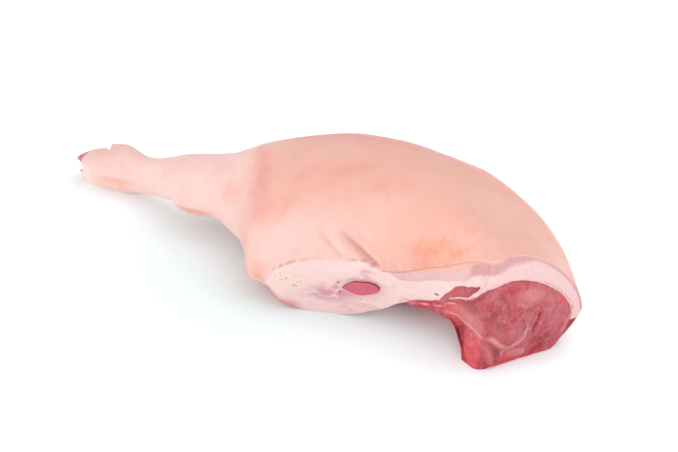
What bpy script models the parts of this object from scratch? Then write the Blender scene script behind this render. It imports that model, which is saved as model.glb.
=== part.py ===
# Pork leg: a whole raw hind leg of pork, trotter on and skin on, lying on its
# inner side.  X runs along the leg (toes -X, cut face +X), Y across it (flank
# side -Y, tail side +Y), Z up from the surface it lies on.
#
# Three solids: the rind with its fat (the whole limb, with the beds of the
# meat hollowed out of it), the lean meat (shows at the butcher's cut, on the
# flank side below the fat and in the arch underneath) and the small flank
# muscle that shows in the flank fat.

import bpy
import bmesh
import numpy as np

# One centimetre, and the clearance between solids that touch
CM = 0.01
CLEARANCE = 0.0003

# Stations along the leg (cm): toe tip, first full toe section, butcher's cut
TOE_TIP = -43.3
TOE_ROUND = -40.6
BUTT_CUT = 33.3

# Rails of the limb, each a list of (station, size) in cm.
# Slant of the section planes, turning them into the plane of the cut.
SLANT = ((3, 0.0), (10, 0.05), (17, 0.15), (24, 0.28), (33.3, 0.483))
# Highest line of the skin: how far across and how high
CROWN_Y = ((-43.3, -3.1), (-26, -3.0), (-16, -2.8), (-8, -1.2), (0, 0.6), (8, 1.0),
           (15, 0.0), (22, -2.6), (33.3, -7.3))
CROWN_Z = ((-43.3, 4.2), (-38.5, 5.3), (-35, 6.2), (-31, 6.4), (-26, 8.0), (-21.5, 9.7),
           (-16, 11.4), (-11, 14.1), (-6, 15.7), (0, 16.8), (7, 17.1), (14, 17.1),
           (21, 16.4), (33.3, 14.7))
# Outermost line on the tail side
FAR_Y = ((-43.3, -1.6), (-38.5, -0.8), (-35, -0.4), (-31, -0.9), (-26, -0.8), (-21.5, 0.2),
         (-16, 1.9), (-11, 5.0), (-6, 9.4), (0, 12.9), (7, 14.3), (14, 13.8), (21, 10.9),
         (27.5, 6.8), (33.3, 2.5))
FAR_Z = ((-43.3, 3.3), (-31, 3.7), (-21.5, 5.4), (7, 5.8), (24, 6.0), (33.3, 4.5))
# Outermost line on the flank side; in the ham it is the edge of the skin
NEAR_Y = ((-43.3, -4.9), (-38.5, -6.6), (-35, -5.5), (-31, -4.9), (-26, -5.2), (-21.5, -7.2),
          (-16, -7.0), (-11, -8.1), (-8, -9.9), (-3.5, -13.7), (0, -13.4), (7, -10.8),
          (14, -8.7), (21, -6.7), (24, -6.7), (33.3, -9.0))
NEAR_Z = ((-43.3, 3.3), (-31, 3.9), (-21.5, 5.4), (-11, 5.2), (-5, 3.8), (-1.5, 3.4),
          (3, 6.3), (10, 7.8), (14.5, 7.3), (21, 9.2), (28, 12.4), (33.3, 14.2))
# Foot of the flank side where it leaves the surface, and the lobe at the cut
FOOT_Y = ((-3.5, -13.7), (0, -13.8), (3.5, -12.5), (7, -11.0), (14, -8.8), (21, -6.8),
          (25, -7.5), (29, -9.4), (33.3, -10.3))
FOOT_Z = ((-3.5, 2.8), (-1, 2.0), (1.5, 0.6), (4, 0.0), (8, 0.0), (14, 1.9), (17.5, 3.4),
          (24.2, 3.3), (25.6, 2.0), (27.7, 1.1), (29.5, 0.0), (33.3, 0.0))
# Short upright side of the round part of the limb
ROUND_SIDE = 0.6
# Lowest line underneath
UNDER_Y = ((-43.3, -3.2), (-26, -3.2), (-16, -2.6), (0, -1.0), (14, 1.5), (24, 1.0), (33.3, -2.0))
UNDER_Z = ((-43.3, 1.4), (-40.5, 0.1), (-38.5, 0.0), (-35, 0.1), (-31, 1.1), (-26, 1.8),
           (-21.5, 1.9), (-16, 1.6), (-11, 1.0), (-6, 0.2), (-2, 0.0), (7, 0.0),
           (14, 0.6), (24, 0.3), (28, 0.0), (33.3, 0.0))
# Radius that rounds the flank side into the cut
CORNER_RADIUS = 1.0
# Roundness of the flank side above the skin's edge, and of the lean below it
SKIN_ROUND = 2.05
LEAN_TOP_ROUND = 1.35
# Roundness of the tail side above and below its outermost line, along the ham
FAR_ROUND = ((-43.3, 2.05), (19, 2.05), (33.3, 1.6))
BELOW_ROUND = ((-43.3, 2.3), (24, 2.3), (33.3, 1.3))

# Cleft between the two toes and the dewclaw behind them
CLEFT_Z = 3.2
CLEFT_WIDTH = 0.5
CLEFT_DEPTH = 0.55
CLEFT_BACK = 1.6
DEWCLAW_TIP = -39.3
DEWCLAW_LENGTH = 6.2
DEWCLAW_TURN = 0.31
DEWCLAW_RISE = 0.55

# Lean meat, from inside the thigh to the cut
LEAN_START = -15.0
LEAN_ROUND = -8.0
LEAN_NEAR_Z = ((-15, 4.6), (0, 4.0), (16, 3.7), (21, 4.8), (24, 6.0), (28, 7.9), (33.3, 10.9))
LEAN_CROWN_DROP = ((-15, 1.8), (0, 2.4), (33.3, 3.5))
LEAN_FAR_IN = ((-15, 1.0), (0, 1.8), (24, 1.8), (33.3, 1.4))
LEAN_FAR_Z = ((-15, 5.6), (24, 6.0), (33.3, 4.4))
# Fat on the flank side of the lean; below zero the lean stands proud of it
LEAN_NEAR_IN = ((-15, 1.2), (0, 3.0), (6, 4.6), (12.6, 4.6), (15.2, -0.25), (33.3, -0.2))
# Fat under the lean, likewise
LEAN_UNDER_IN = ((-15, 1.0), (9, 1.2), (12, -0.25), (33.3, -0.25))
LEAN_PROUD = 0.1
# Muscles on the cut: (across, up, half width, half height, swell) in cm
MUSCLES = ((-1.6, 5.0, 2.9, 3.4, 0.50), (-5.6, 7.4, 3.4, 2.7, 0.42), (-5.2, 2.9, 2.6, 2.6, 0.40),
           (-8.9, 3.2, 1.6, 3.6, 0.55))

# Flank muscle: where it shows, how wide, high and deep it runs
FLANK_STATION = 10.9
FLANK_Z = 4.1
FLANK_HALF_LENGTH = 2.45
FLANK_HALF_HEIGHT = 0.95
FLANK_DEPTH = 3.4

# Mesh density
LIMB_RINGS = 58
LEAN_RINGS = 36
TURN_SHARES = ((0.0, 10), (0.22, 13), (0.50, 8), (0.70, 7), (0.88, 6))


def rail(pairs, s):
    """A smooth line through (station, size) pairs that never overshoots them."""
    p = np.array(pairs, float)
    x, y = p[:, 0], p[:, 1]
    if len(x) == 2:
        return np.interp(s, x, y)
    step = np.diff(x)
    d = np.diff(y) / step
    m = np.zeros_like(y)
    m[0], m[-1] = d[0], d[-1]
    rising = d[1:] * d[:-1] > 0
    w1, w2 = 2 * step[1:] + step[:-1], step[1:] + 2 * step[:-1]
    a, b = np.where(rising, d[:-1], 1.0), np.where(rising, d[1:], 1.0)
    m[1:-1] = np.where(rising, (w1 + w2) / (w1 / a + w2 / b), 0.0)
    s = np.clip(s, x[0], x[-1])
    i = np.clip(np.searchsorted(x, s) - 1, 0, len(x) - 2)
    n = x[i + 1] - x[i]
    t = (s - x[i]) / n
    return ((1 + 2 * t) * (1 - t) ** 2 * y[i] + t * (1 - t) ** 2 * m[i] * n
            + t * t * (3 - 2 * t) * y[i + 1] + t * t * (t - 1) * m[i + 1] * n)


def ease(t):
    """A soft step from 0 to 1."""
    t = np.clip(t, 0.0, 1.0)
    return t * t * (3 - 2 * t)


def hump(v, centre, width):
    """A bell one high at its centre."""
    return np.exp(-((v - centre) / width) ** 2)


def arc(u, n):
    """A quarter of a superellipse: along and up shares for u from 0 to 1."""
    c, s = np.cos(u * np.pi / 2), np.sin(u * np.pi / 2)
    return np.clip(c, 0, 1) ** (2 / n), np.clip(s, 0, 1) ** (2 / n)


def turn_parameters():
    """Places once round a section: flank edge, crown, tail side, under, foot."""
    starts = [v for v, _ in TURN_SHARES] + [1.0]
    parts = []
    for k, (_, n) in enumerate(TURN_SHARES):
        parts.append(np.linspace(starts[k], starts[k + 1], n, endpoint=False))
    return np.concatenate(parts)


def quarters(t, near, crown, far, under, foot, near_round, far_round, below_round, cut):
    """One closed section from its five named corners, each a (y, z) pair."""
    y, z = np.zeros(t.shape), np.zeros(t.shape)
    starts = [v for v, _ in TURN_SHARES] + [1.0]

    def span(k):
        return (t - starts[k]) / (starts[k + 1] - starts[k])

    a, b = arc(span(0), near_round)
    y0 = crown[0] + (near[0] - crown[0]) * a
    z0 = near[1] + (crown[1] - near[1]) * b
    a, b = arc(1 - span(1), far_round)
    y1 = crown[0] + (far[0] - crown[0]) * a
    z1 = far[1] + (crown[1] - far[1]) * b
    a, b = arc(span(2), below_round)
    y2 = under[0] + (far[0] - under[0]) * a
    z2 = far[1] + (under[1] - far[1]) * b
    u = np.clip(span(3), 0, 1)
    a, b = arc(1 - u, 2.0)
    y3 = under[0] + (foot[0] - under[0]) * (a * (1 - cut) + u * cut)
    z3 = (foot[1] + (under[1] - foot[1]) * b) * (1 - cut)
    z3 = z3 + (under[1] + (foot[1] - under[1]) * u ** 1.6) * cut
    u = np.clip(span(4), 0, 1)
    y4 = foot[0] + (near[0] - foot[0]) * u
    z4 = foot[1] + (near[1] - foot[1]) * u
    which = np.clip(np.searchsorted(starts, t, side="right") - 1, 0, 4)
    y = np.choose(which, [y0, y1, y2, y3, y4])
    z = np.choose(which, [z0, z1, z2, z3, z4])
    return y, z


def corner_inset(s):
    """How far the flank side draws in, on a quarter circle, as it meets the cut."""
    u = np.clip((s - BUTT_CUT + CORNER_RADIUS) / CORNER_RADIUS, 0, 1)
    return CORNER_RADIUS * (1 - np.sqrt(1 - 0.98 * u * u))


def limb_corners(s):
    """Flank edge, crown, tail side, underside and foot of the limb at station s."""
    cut = ease((s + 4) / 5)
    near_y, near_z = rail(NEAR_Y, s) + corner_inset(s), rail(NEAR_Z, s)
    foot_y = near_y * (1 - cut) + (rail(FOOT_Y, s) + corner_inset(s)) * cut
    foot_z = (near_z - ROUND_SIDE) * (1 - cut) + rail(FOOT_Z, s) * cut
    return ((near_y, near_z), (rail(CROWN_Y, s), rail(CROWN_Z, s)),
            (rail(FAR_Y, s), rail(FAR_Z, s)), (rail(UNDER_Y, s), rail(UNDER_Z, s)),
            (foot_y, foot_z))


def underside(y, under, foot):
    """Height of the underside of the cut ham at y, rising to its foot."""
    u = np.clip((y - under[0]) / (foot[0] - under[0]), 0, 1)
    return under[1] + (foot[1] - under[1]) * u ** 1.6


def limb_section(s, t):
    """Skin, flank wall and underside of the limb at station s, turn t (cm)."""
    s, t = np.broadcast_arrays(s, t)
    cut = ease((s + 4) / 5)
    corners = limb_corners(s)
    y, z = quarters(t, *corners, SKIN_ROUND, rail(FAR_ROUND, s), rail(BELOW_ROUND, s), cut)
    # dewclaw on the tail side
    claw = ease((s - DEWCLAW_TIP) / 0.6) * ease((DEWCLAW_TIP + DEWCLAW_LENGTH - s) / 5)
    claw = DEWCLAW_RISE * claw * hump(t, DEWCLAW_TURN, 0.09)
    y, z = y + 0.6 * claw, z + 0.8 * claw
    # rounded toe end, split by the cleft
    end = np.clip((TOE_ROUND - s) / (TOE_ROUND - TOE_TIP), 0, 1)
    shrink = (1 - end ** 2.6) ** (1 / 2.2)
    middle = rail(CROWN_Y, s)
    groove = hump(z, CLEFT_Z, CLEFT_WIDTH)
    y = middle + (y - middle) * shrink * (1 - CLEFT_DEPTH * groove * ease((-39.8 - s) / 2.4))
    z = CLEFT_Z + (z - CLEFT_Z) * (0.5 + 0.5 * shrink)
    x = s + rail(SLANT, s) * y + CLEFT_BACK * groove * ease((-41.2 - s) / 1.8)
    return x, y, np.maximum(z, 0)


def lean_section(s, t):
    """The lean meat at station s, turn t (cm)."""
    s, t = np.broadcast_arrays(s, t)
    skin, crown, far, under, foot = limb_corners(s)
    inward, up = rail(LEAN_NEAR_IN, s), rail(LEAN_UNDER_IN, s)
    top = rail(LEAN_NEAR_Z, s)
    wall = foot[0] + (skin[0] - foot[0]) * (top - foot[1]) / (skin[1] - foot[1])
    near = (wall + inward, top)
    limb_foot = foot
    foot = (foot[0] + inward, underside(foot[0] + inward, under, limb_foot) + up)
    crown = (crown[0] + 0.3, crown[1] - rail(LEAN_CROWN_DROP, s))
    far = (far[0] - rail(LEAN_FAR_IN, s), rail(LEAN_FAR_Z, s))
    low = under[1] + up
    y, z = quarters(t, near, crown, far, (under[0], low), foot, LEAN_TOP_ROUND,
                    rail(FAR_ROUND, s), rail(BELOW_ROUND, s) + 0.3, np.ones(s.shape))
    below = (t >= TURN_SHARES[3][0]) & (t < TURN_SHARES[4][0])
    z = np.where(below, underside(y, under, limb_foot) + up, z)
    # rounded inner end
    end = np.clip((LEAN_ROUND - s) / (LEAN_ROUND - LEAN_START), 0, 1)
    shrink = (1 - end ** 2.2) ** (1 / 2.0)
    middle_z = 5.4
    y = crown[0] + (y - crown[0]) * shrink
    z = middle_z + (z - middle_z) * shrink
    return s + rail(SLANT, s) * y, y, np.maximum(z, 0)


def cut_relief(y, z):
    """Swelling of the muscles on the cut face, out of the plane of the cut (cm)."""
    rise = np.zeros(y.shape)
    for across, up, half_y, half_z, swell in MUSCLES:
        r2 = ((y - across) / half_y) ** 2 + ((z - up) / half_z) ** 2
        rise = np.maximum(rise, swell * np.clip(1 - r2, 0, 1) ** 0.6)
    return rise


def stations(first, count, crowd):
    """Section places up to the cut, crowded at the start and round its corner."""
    main = first + (BUTT_CUT - CORNER_RADIUS - first) * np.linspace(0, 1, count) ** crowd
    corner = BUTT_CUT - CORNER_RADIUS * (1 - np.sin(np.radians((30, 55, 75, 90))))
    return np.concatenate([main, corner])[:, None]


def close_loft(name, rings, first_point, last_point, material):
    """A closed body from rings of points, ending in a point at each end."""
    count, around, _ = rings.shape
    points = [tuple(p * CM) for p in rings.reshape(-1, 3)]
    faces = []
    for i in range(count - 1):
        for j in range(around):
            a, b = i * around + j, i * around + (j + 1) % around
            faces.append((a, a + around, b + around, b))
    first = len(points)
    points.append(tuple(first_point * CM))
    for j in range(around):
        faces.append((first, j, (j + 1) % around))
    last = len(points)
    points.append(tuple(last_point * CM))
    base = (count - 1) * around
    for j in range(around):
        faces.append((last, base + (j + 1) % around, base + j))
    mesh = bpy.data.meshes.new(name)
    mesh.from_pydata(points, [], faces)
    bm = bmesh.new()
    bm.from_mesh(mesh)
    bmesh.ops.remove_doubles(bm, verts=bm.verts, dist=0.00005)
    bmesh.ops.recalc_face_normals(bm, faces=bm.faces)
    bmesh.ops.triangulate(bm, faces=bm.faces, quad_method="SHORT_EDGE")
    bm.to_mesh(mesh)
    bm.free()
    for polygon in mesh.polygons:
        polygon.use_smooth = True
    mesh.set_sharp_from_angle(angle=0.7)
    obj = bpy.data.objects.new(name, mesh)
    bpy.context.scene.collection.objects.link(obj)
    mesh.materials.append(material)
    return obj


def surface(name, colour, roughness):
    """A plain Principled surface."""
    mat = bpy.data.materials.new(name)
    mat.use_nodes = True
    shader = mat.node_tree.nodes["Principled BSDF"]
    shader.inputs["Base Color"].default_value = (*colour, 1.0)
    shader.inputs["Roughness"].default_value = roughness
    shader.inputs["Metallic"].default_value = 0.0
    return mat


def grown(source, name):
    """The same body a clearance larger all round, as a cutter."""
    obj = source.copy()
    obj.data = source.data.copy()
    obj.name = name
    normals = [v.normal.copy() for v in obj.data.vertices]
    for vertex, normal in zip(obj.data.vertices, normals):
        vertex.co += normal * CLEARANCE
    bpy.context.scene.collection.objects.link(obj)
    obj.hide_render = True
    obj.display_type = "WIRE"
    return obj


def hollow(body, cutter):
    """Cuts the cutter's shape out of the body, then does away with the cutter."""
    cut = body.modifiers.new(cutter.name, "BOOLEAN")
    cut.operation = "DIFFERENCE"
    cut.solver = "EXACT"
    cut.object = cutter
    depsgraph = bpy.context.evaluated_depsgraph_get()
    mesh = bpy.data.meshes.new_from_object(body.evaluated_get(depsgraph))
    body.modifiers.clear()
    body.data = mesh
    bpy.data.objects.remove(cutter, do_unlink=True)


def drop_scraps(body):
    """Keeps the largest connected piece of the body."""
    bm = bmesh.new()
    bm.from_mesh(body.data)
    unseen = set(bm.verts)
    pieces = []
    while unseen:
        todo = [unseen.pop()]
        piece = []
        while todo:
            vertex = todo.pop()
            piece.append(vertex)
            for edge in vertex.link_edges:
                other = edge.other_vert(vertex)
                if other in unseen:
                    unseen.remove(other)
                    todo.append(other)
        pieces.append(piece)
    pieces.sort(key=len)
    for scrap in pieces[:-1]:
        bmesh.ops.delete(bm, geom=scrap, context="VERTS")
    bm.to_mesh(body.data)
    bm.free()


def limb_rings():
    """Rings of the limb from the toe tip to the cut, then in over the cut."""
    t = turn_parameters()[None, :]
    s = stations(TOE_TIP + 0.02, LIMB_RINGS, 1.35)
    x, y, z = limb_section(s, t)
    rings = np.stack([x, y, z], axis=-1)
    edge = rings[-1]
    middle = np.array((0.0, -5.0, 6.0))
    middle[0] = BUTT_CUT + rail(SLANT, BUTT_CUT) * middle[1]
    inner = middle + (edge - middle) * 0.75
    return np.concatenate([rings, inner[None]]), middle


def lean_rings():
    """Rings of the lean from its inner end to the swelling muscles of the cut."""
    t = turn_parameters()[None, :]
    s = stations(LEAN_START + 0.02, LEAN_RINGS, 1.0)
    x, y, z = lean_section(s, t)
    rings = [np.stack([x, y, z], axis=-1)]
    edge = rings[0][-1]
    slant = rail(SLANT, BUTT_CUT)
    middle = np.array((0.0, -4.6, 4.8))
    normal = np.array((1.0, -slant, 0.0)) / np.hypot(1.0, slant)
    for share in (0.97, 0.88, 0.76, 0.62, 0.46, 0.28):
        ring = middle + (edge - middle) * share
        ring[:, 0] = BUTT_CUT + slant * ring[:, 1]
        rise = LEAN_PROUD + cut_relief(ring[:, 1], ring[:, 2]) * ease((1 - share) / 0.15)
        rings.append((ring + normal * rise[:, None])[None])
    middle[0] = BUTT_CUT + slant * middle[1]
    top = middle + normal * (LEAN_PROUD + cut_relief(middle[1:2], middle[2:3])[0])
    return np.concatenate(rings), top


def flank_rings():
    """The flank muscle: an oval strip running in from the flank wall."""
    turn = np.linspace(0, 2 * np.pi, 20, endpoint=False)
    s0 = FLANK_STATION
    slope = (rail(NEAR_Y, s0 + 1.0) - rail(NEAR_Y, s0 - 1.0)) / 2.0
    along = np.array((1.0, slope, 0.0)) / np.hypot(1.0, slope)
    inward = np.array((-along[1], along[0], 0.0))
    y0 = rail(NEAR_Y, s0)
    start = np.array((s0 + rail(SLANT, s0) * y0, y0, FLANK_Z))
    rings = []
    for depth, share in ((-0.16, 0.45), (-0.10, 0.86), (0.15, 1.0), (1.5, 0.97), (3.0, 0.85),
                         (FLANK_DEPTH - 0.5, 0.6), (FLANK_DEPTH - 0.1, 0.3)):
        wide = FLANK_HALF_LENGTH * share * np.cos(turn)
        high = FLANK_HALF_HEIGHT * share * np.sin(turn)
        ring = start + inward * depth + along * wide[:, None]
        ring[:, 2] += high
        rings.append(ring)
    return np.stack(rings)


for stale in list(bpy.data.objects):
    bpy.data.objects.remove(stale, do_unlink=True)

rind_colour = surface("rind", (0.83, 0.55, 0.48), 0.45)
lean_colour = surface("lean", (0.55, 0.13, 0.13), 0.35)
flank_colour = surface("flank", (0.58, 0.17, 0.18), 0.35)

rings, middle = limb_rings()
cleft = rings[0].mean(axis=0) + np.array((0.5 * CLEFT_BACK, 0.0, 0.0))
limb = close_loft("rind_and_fat", rings, cleft, middle, rind_colour)
rings, top = lean_rings()
lean = close_loft("lean_meat", rings, rings[0].mean(axis=0), top, lean_colour)
rings = flank_rings()
flank = close_loft("flank_muscle", rings, rings[0].mean(axis=0), rings[-1].mean(axis=0),
                   flank_colour)

# Centre the leg over the origin
nodes = (limb, lean, flank)
corners = np.array([v.co[:] for obj in nodes for v in obj.data.vertices])
centre = (corners.min(axis=0) + corners.max(axis=0)) / 2
for obj in nodes:
    for vertex in obj.data.vertices:
        vertex.co.x -= centre[0]
        vertex.co.y -= centre[1]

# Hollow the beds of the meat out of the fat
for source, name in ((lean, "lean_bed"), (flank, "flank_bed")):
    hollow(limb, grown(source, name))
drop_scraps(limb)
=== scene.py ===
"""Pork leg: a raw hind leg lying on its inner side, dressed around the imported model.

X runs along the leg (toes -X, cut face +X), Y across it (flank side -Y, tail side +Y), Z up.
Shapes are worked out in centimetres on stations s along the leg and turns t round it, then
moved over the origin. Turn 0 is the edge of the skin on the flank side, 0.22 the crown, 0.50
the tail side, 0.70 the underside and 0.88 the foot of the cut flank side, which rises to 1.
"""

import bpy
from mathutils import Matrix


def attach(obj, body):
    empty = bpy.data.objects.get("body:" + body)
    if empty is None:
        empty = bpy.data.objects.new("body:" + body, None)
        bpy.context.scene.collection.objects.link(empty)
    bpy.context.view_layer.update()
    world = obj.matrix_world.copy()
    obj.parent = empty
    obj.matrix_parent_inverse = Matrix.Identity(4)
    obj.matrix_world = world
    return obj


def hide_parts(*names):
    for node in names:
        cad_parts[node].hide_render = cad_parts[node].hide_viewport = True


bl_info = {
    "name": "Pork leg",
    "version": (1, 0, 0),
    "blender": (4, 5, 0),
    "location": "View3D > Sidebar > Pork leg",
    "description": "Makes the rind and fat, the lean meat, the flank muscle and a small studio",
    "category": "Object",
}

from types import SimpleNamespace
import bpy
import numpy as np
from bpy.props import FloatProperty, FloatVectorProperty, PointerProperty
from mathutils import Matrix, Vector

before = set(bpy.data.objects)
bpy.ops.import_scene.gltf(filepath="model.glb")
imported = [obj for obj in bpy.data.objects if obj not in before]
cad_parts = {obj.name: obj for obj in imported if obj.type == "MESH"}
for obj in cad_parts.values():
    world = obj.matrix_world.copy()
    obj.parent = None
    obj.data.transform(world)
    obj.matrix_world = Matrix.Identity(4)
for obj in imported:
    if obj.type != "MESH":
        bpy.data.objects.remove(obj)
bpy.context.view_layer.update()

# One centimetre, and the middle of the leg on the rails, in cm
CM = 0.01
MIDDLE = np.array((-4.386, 0.27, 0.0))

# Stations along the leg: toe tip, first full toe section, butcher's cut
TOE_TIP = -43.3
TOE_ROUND = -39.1
BUTT_CUT = 33.3

# Rails of the limb, each a list of (station, size) in cm, as in the solids
SLANT = ((3, 0.0), (10, 0.05), (17, 0.15), (24, 0.28), (33.3, 0.483))
CROWN_Y = ((-43.3, -3.1), (-26, -3.0), (-16, -2.8), (-8, -1.2), (0, 0.6), (8, 1.0),
           (15, 0.0), (22, -2.6), (33.3, -7.3))
CROWN_Z = ((-43.3, 4.2), (-38.5, 5.3), (-35, 6.2), (-31, 6.4), (-26, 8.0), (-21.5, 9.7),
           (-16, 11.4), (-11, 14.1), (-6, 15.7), (0, 16.8), (7, 17.1), (14, 17.1),
           (21, 16.4), (33.3, 14.7))
FAR_Y = ((-43.3, -1.6), (-38.5, -0.8), (-35, -0.4), (-31, -0.9), (-26, -0.8), (-21.5, 0.2),
         (-16, 1.9), (-11, 5.0), (-6, 9.4), (0, 12.9), (7, 14.3), (14, 13.8), (21, 10.9),
         (27.5, 6.8), (33.3, 2.5))
FAR_Z = ((-43.3, 3.3), (-31, 3.7), (-21.5, 5.4), (7, 5.8), (24, 6.0), (33.3, 4.5))
NEAR_Y = ((-43.3, -4.9), (-38.5, -6.6), (-35, -5.5), (-31, -4.9), (-26, -5.2), (-21.5, -7.2),
          (-16, -7.0), (-11, -8.1), (-8, -9.9), (-3.5, -13.7), (0, -13.4), (7, -10.8),
          (14, -8.7), (21, -6.7), (24, -6.7), (33.3, -9.0))
NEAR_Z = ((-43.3, 3.3), (-31, 3.9), (-21.5, 5.4), (-11, 5.2), (-5, 3.8), (-1.5, 3.4),
          (0.4, 5.0), (3, 6.5), (10, 7.8), (14.5, 7.3), (21, 9.2), (28, 12.4), (33.3, 14.2))
FOOT_Y = ((-3.5, -13.7), (0, -13.8), (3.5, -12.5), (7, -11.0), (14, -8.8), (21, -6.8),
          (25, -7.5), (29, -9.4), (33.3, -10.3))
FOOT_Z = ((-3.5, 2.8), (-1, 2.0), (1.5, 0.6), (4, 0.0), (8, 0.0), (14, 1.9), (17.5, 3.4),
          (24.2, 3.3), (25.6, 2.0), (27.7, 1.1), (29.5, 0.0), (33.3, 0.0))
ROUND_SIDE = 0.6
UNDER_Y = ((-43.3, -3.2), (-26, -3.2), (-16, -2.6), (0, -1.0), (14, 1.5), (24, 1.0),
           (33.3, -2.0))
UNDER_Z = ((-43.3, 1.4), (-40.5, 0.1), (-38.5, 0.0), (-35, 0.1), (-31, 1.1), (-26, 1.8),
           (-21.5, 1.9), (-16, 1.6), (-11, 1.0), (-6, 0.2), (-2, 0.0), (7, 0.0),
           (14, 0.6), (24, 0.3), (28, 0.0), (33.3, 0.0))
CORNER_RADIUS = 1.0
SKIN_ROUND = 2.05
LEAN_TOP_ROUND = 1.35
FAR_ROUND = ((-43.3, 2.05), (19, 2.05), (33.3, 1.6))
BELOW_ROUND = ((-43.3, 2.3), (24, 2.3), (33.3, 1.3))
TURNS = (0.0, 0.22, 0.50, 0.70, 0.88, 1.0)

# Toes: the middle between them, their tilt and spread, and how much longer the upper one is
TOE_MIDDLE = (-3.9, 1.64)
TOE_TILT = 0.6
TOE_SPREAD = 0.80
TOE_HALF = 2.4
UPPER_TOE_AHEAD = 0.8
# Cleft between the toes: its first station, softness, depth of the web and half opening
CLEFT_START = -40.2
CLEFT_WIDTH = 0.24
CLEFT_BACK = 4.6
CLEFT_OPEN = 0.62
# Dewclaws: (station of the tip, turn, rise), and how far the tip lies back for a whole turn
DEWCLAWS = ((-38.8, 0.33, 0.68), (-38.2, 0.60, 0.40))
DEWCLAW_SLANT = 7.5

# Lean meat
LEAN_START = -15.0
LEAN_ROUND = -8.0
LEAN_NEAR_Z = ((-15, 4.6), (0, 4.0), (16, 3.5), (19, 3.85), (22, 4.6), (24.7, 5.9), (28, 7.3),
               (29.7, 8.2), (33.3, 10.9))
LEAN_CROWN_DROP = ((-15, 1.8), (0, 2.4), (33.3, 3.5))
LEAN_FAR_IN = ((-15, 1.0), (0, 1.8), (24, 1.8), (33.3, 1.4))
LEAN_FAR_Z = ((-15, 5.6), (24, 6.0), (33.3, 4.4))
LEAN_NEAR_IN = ((-15, 1.2), (0, 3.0), (6, 4.6), (13.5, 4.0), (17.2, 0.0), (19, -0.25),
                (33.3, -0.2))
LEAN_UNDER_IN = ((-15, 1.0), (9, 1.2), (12, -0.25), (33.3, -0.25))
LEAN_PROUD = 0.1
# Centre of the cut and its muscles, each (across, up, half width, half height, swell)
CUT_CENTRE = (-4.6, 4.8)
MUSCLES = ((-1.6, 5.0, 2.9, 3.4, 0.50), (-5.6, 7.4, 3.4, 2.7, 0.42), (-5.2, 2.9, 2.6, 2.6, 0.40),
           (-8.9, 3.2, 1.6, 3.6, 0.55))

# Flank muscle: middle, half length and height, tilt and depth
FLANK_STATION = 11.1
FLANK_Z = 4.15
FLANK_HALF_LENGTH = 2.5
FLANK_HALF_HEIGHT = 0.95
FLANK_TILT = 0.14
FLANK_DEPTH = 3.2

# How far light goes into the meat
MEAT_DEPTH = {"Subsurface_Weight": 0.12, "Subsurface_Scale": 0.004,
              "Subsurface_Radius": (1.0, 0.25, 0.2)}

# Half the floor's width, and the place that the lights face, in metres
FLOOR_REACH = 30.0
AIM = (0.0, 0.0, 0.05)

# Rings drawn in over the cut, in the fat and in the lean
FAT_RINGS = 20
LEAN_RINGS = 84

# Folds of the skin by the flank: lines of (station, cm above the skin's edge), width, depth
FOLDS = (
    (((7.1, 4.6), (8.1, 3.75), (9.5, 2.75), (11.0, 1.75), (12.2, 1.05), (13.2, 0.5)), 0.40, 0.46),
    (((4.8, 4.2), (5.9, 3.0), (6.9, 2.05), (8.4, 0.5)), 0.50, 0.13),
    (((14.9, 2.0), (15.4, 1.1), (15.9, 0.3)), 0.22, 0.10),
    (((16.5, 1.4), (17.0, 0.4)), 0.2, 0.07),
)
# Fold behind the hock: lines of (station, turn), with turn scaled to cm by HOCK_SPREAD
HOCK_FOLD = ((-23.4, 0.800), (-22.0, 0.818), (-20.0, 0.832), (-17.6, 0.838), (-15.8, 0.834))
HOCK_SPREAD = 28.0
# Rise of the heel's lower outline along the leg: (station, cm)
HEEL = ((-43.3, 0.0), (-26.5, 0.0), (-24.4, -0.2), (-22.4, 0.1), (-20.4, 0.25), (-18.6, -0.12),
        (-16.2, -0.6), (-14.2, -0.3), (-12.0, 0.0), (33.3, 0.0))
# Where the cut edge of the rind ends below the edge of the skin: (station, cm)
RIND_CUT = ((14.2, 0.0), (15.3, 0.5), (17.5, 1.28), (21.7, 1.75), (26.4, 2.3), (28.2, 1.8),
            (30.5, 1.6), (33.3, 1.45))
# How far the skin rolls over its edge before the cut rind begins: (station, cm)
RIND_LIP = ((14.5, 0.1), (17.5, 0.3), (21.7, 0.7), (26.0, 1.0), (27.3, 0.45), (28.3, 0.28),
            (31, 0.05), (33.3, 0.05))
# The same over the cut, at the edge of the skin
CAP_LIP = 0.26
# Hole in the fat where dark lean shows: (station, height)
DARK_HOLE = ((22.3, 5.3), (23.3, 6.6), (24.3, 7.6), (27.3, 8.85), (30.4, 10.05), (30.0, 9.4),
             (28.6, 8.2), (27.2, 7.55), (25.5, 6.85), (23.9, 6.1))
# How far the flank fat reaches above the edge of the flank side: (station, cm)
FAT_ABOVE = ((-1.7, 0.0), (-0.9, 0.25), (0.4, 0.33), (3, 0.28), (8.6, 0.12), (10.2, 0.3),
             (11.5, 0.62), (12.6, 0.35), (14.2, 0.0))
# Strands of fat below the hole
STRANDS = ((((23.4, 5.75), (25.5, 6.6), (27.2, 7.25), (28.5, 7.75), (29.6, 8.6)), 0.16),
           (((22.6, 4.95), (23.6, 5.3), (25.0, 5.7)), 0.13))
# Lean that shows between the strands and the top of the lean
UNDER_HOLE = ((22.6, 4.9), (24.0, 5.9), (27.0, 7.1), (28.8, 7.6), (27.6, 6.6), (24.0, 4.9))
# Edge of the sheath over the lobe beside the cut: (station, height)
SHEATH_Z = ((21.5, 3.6), (23.5, 4.0), (28.1, 4.8), (31.5, 4.8), (33.3, 4.3))

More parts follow.
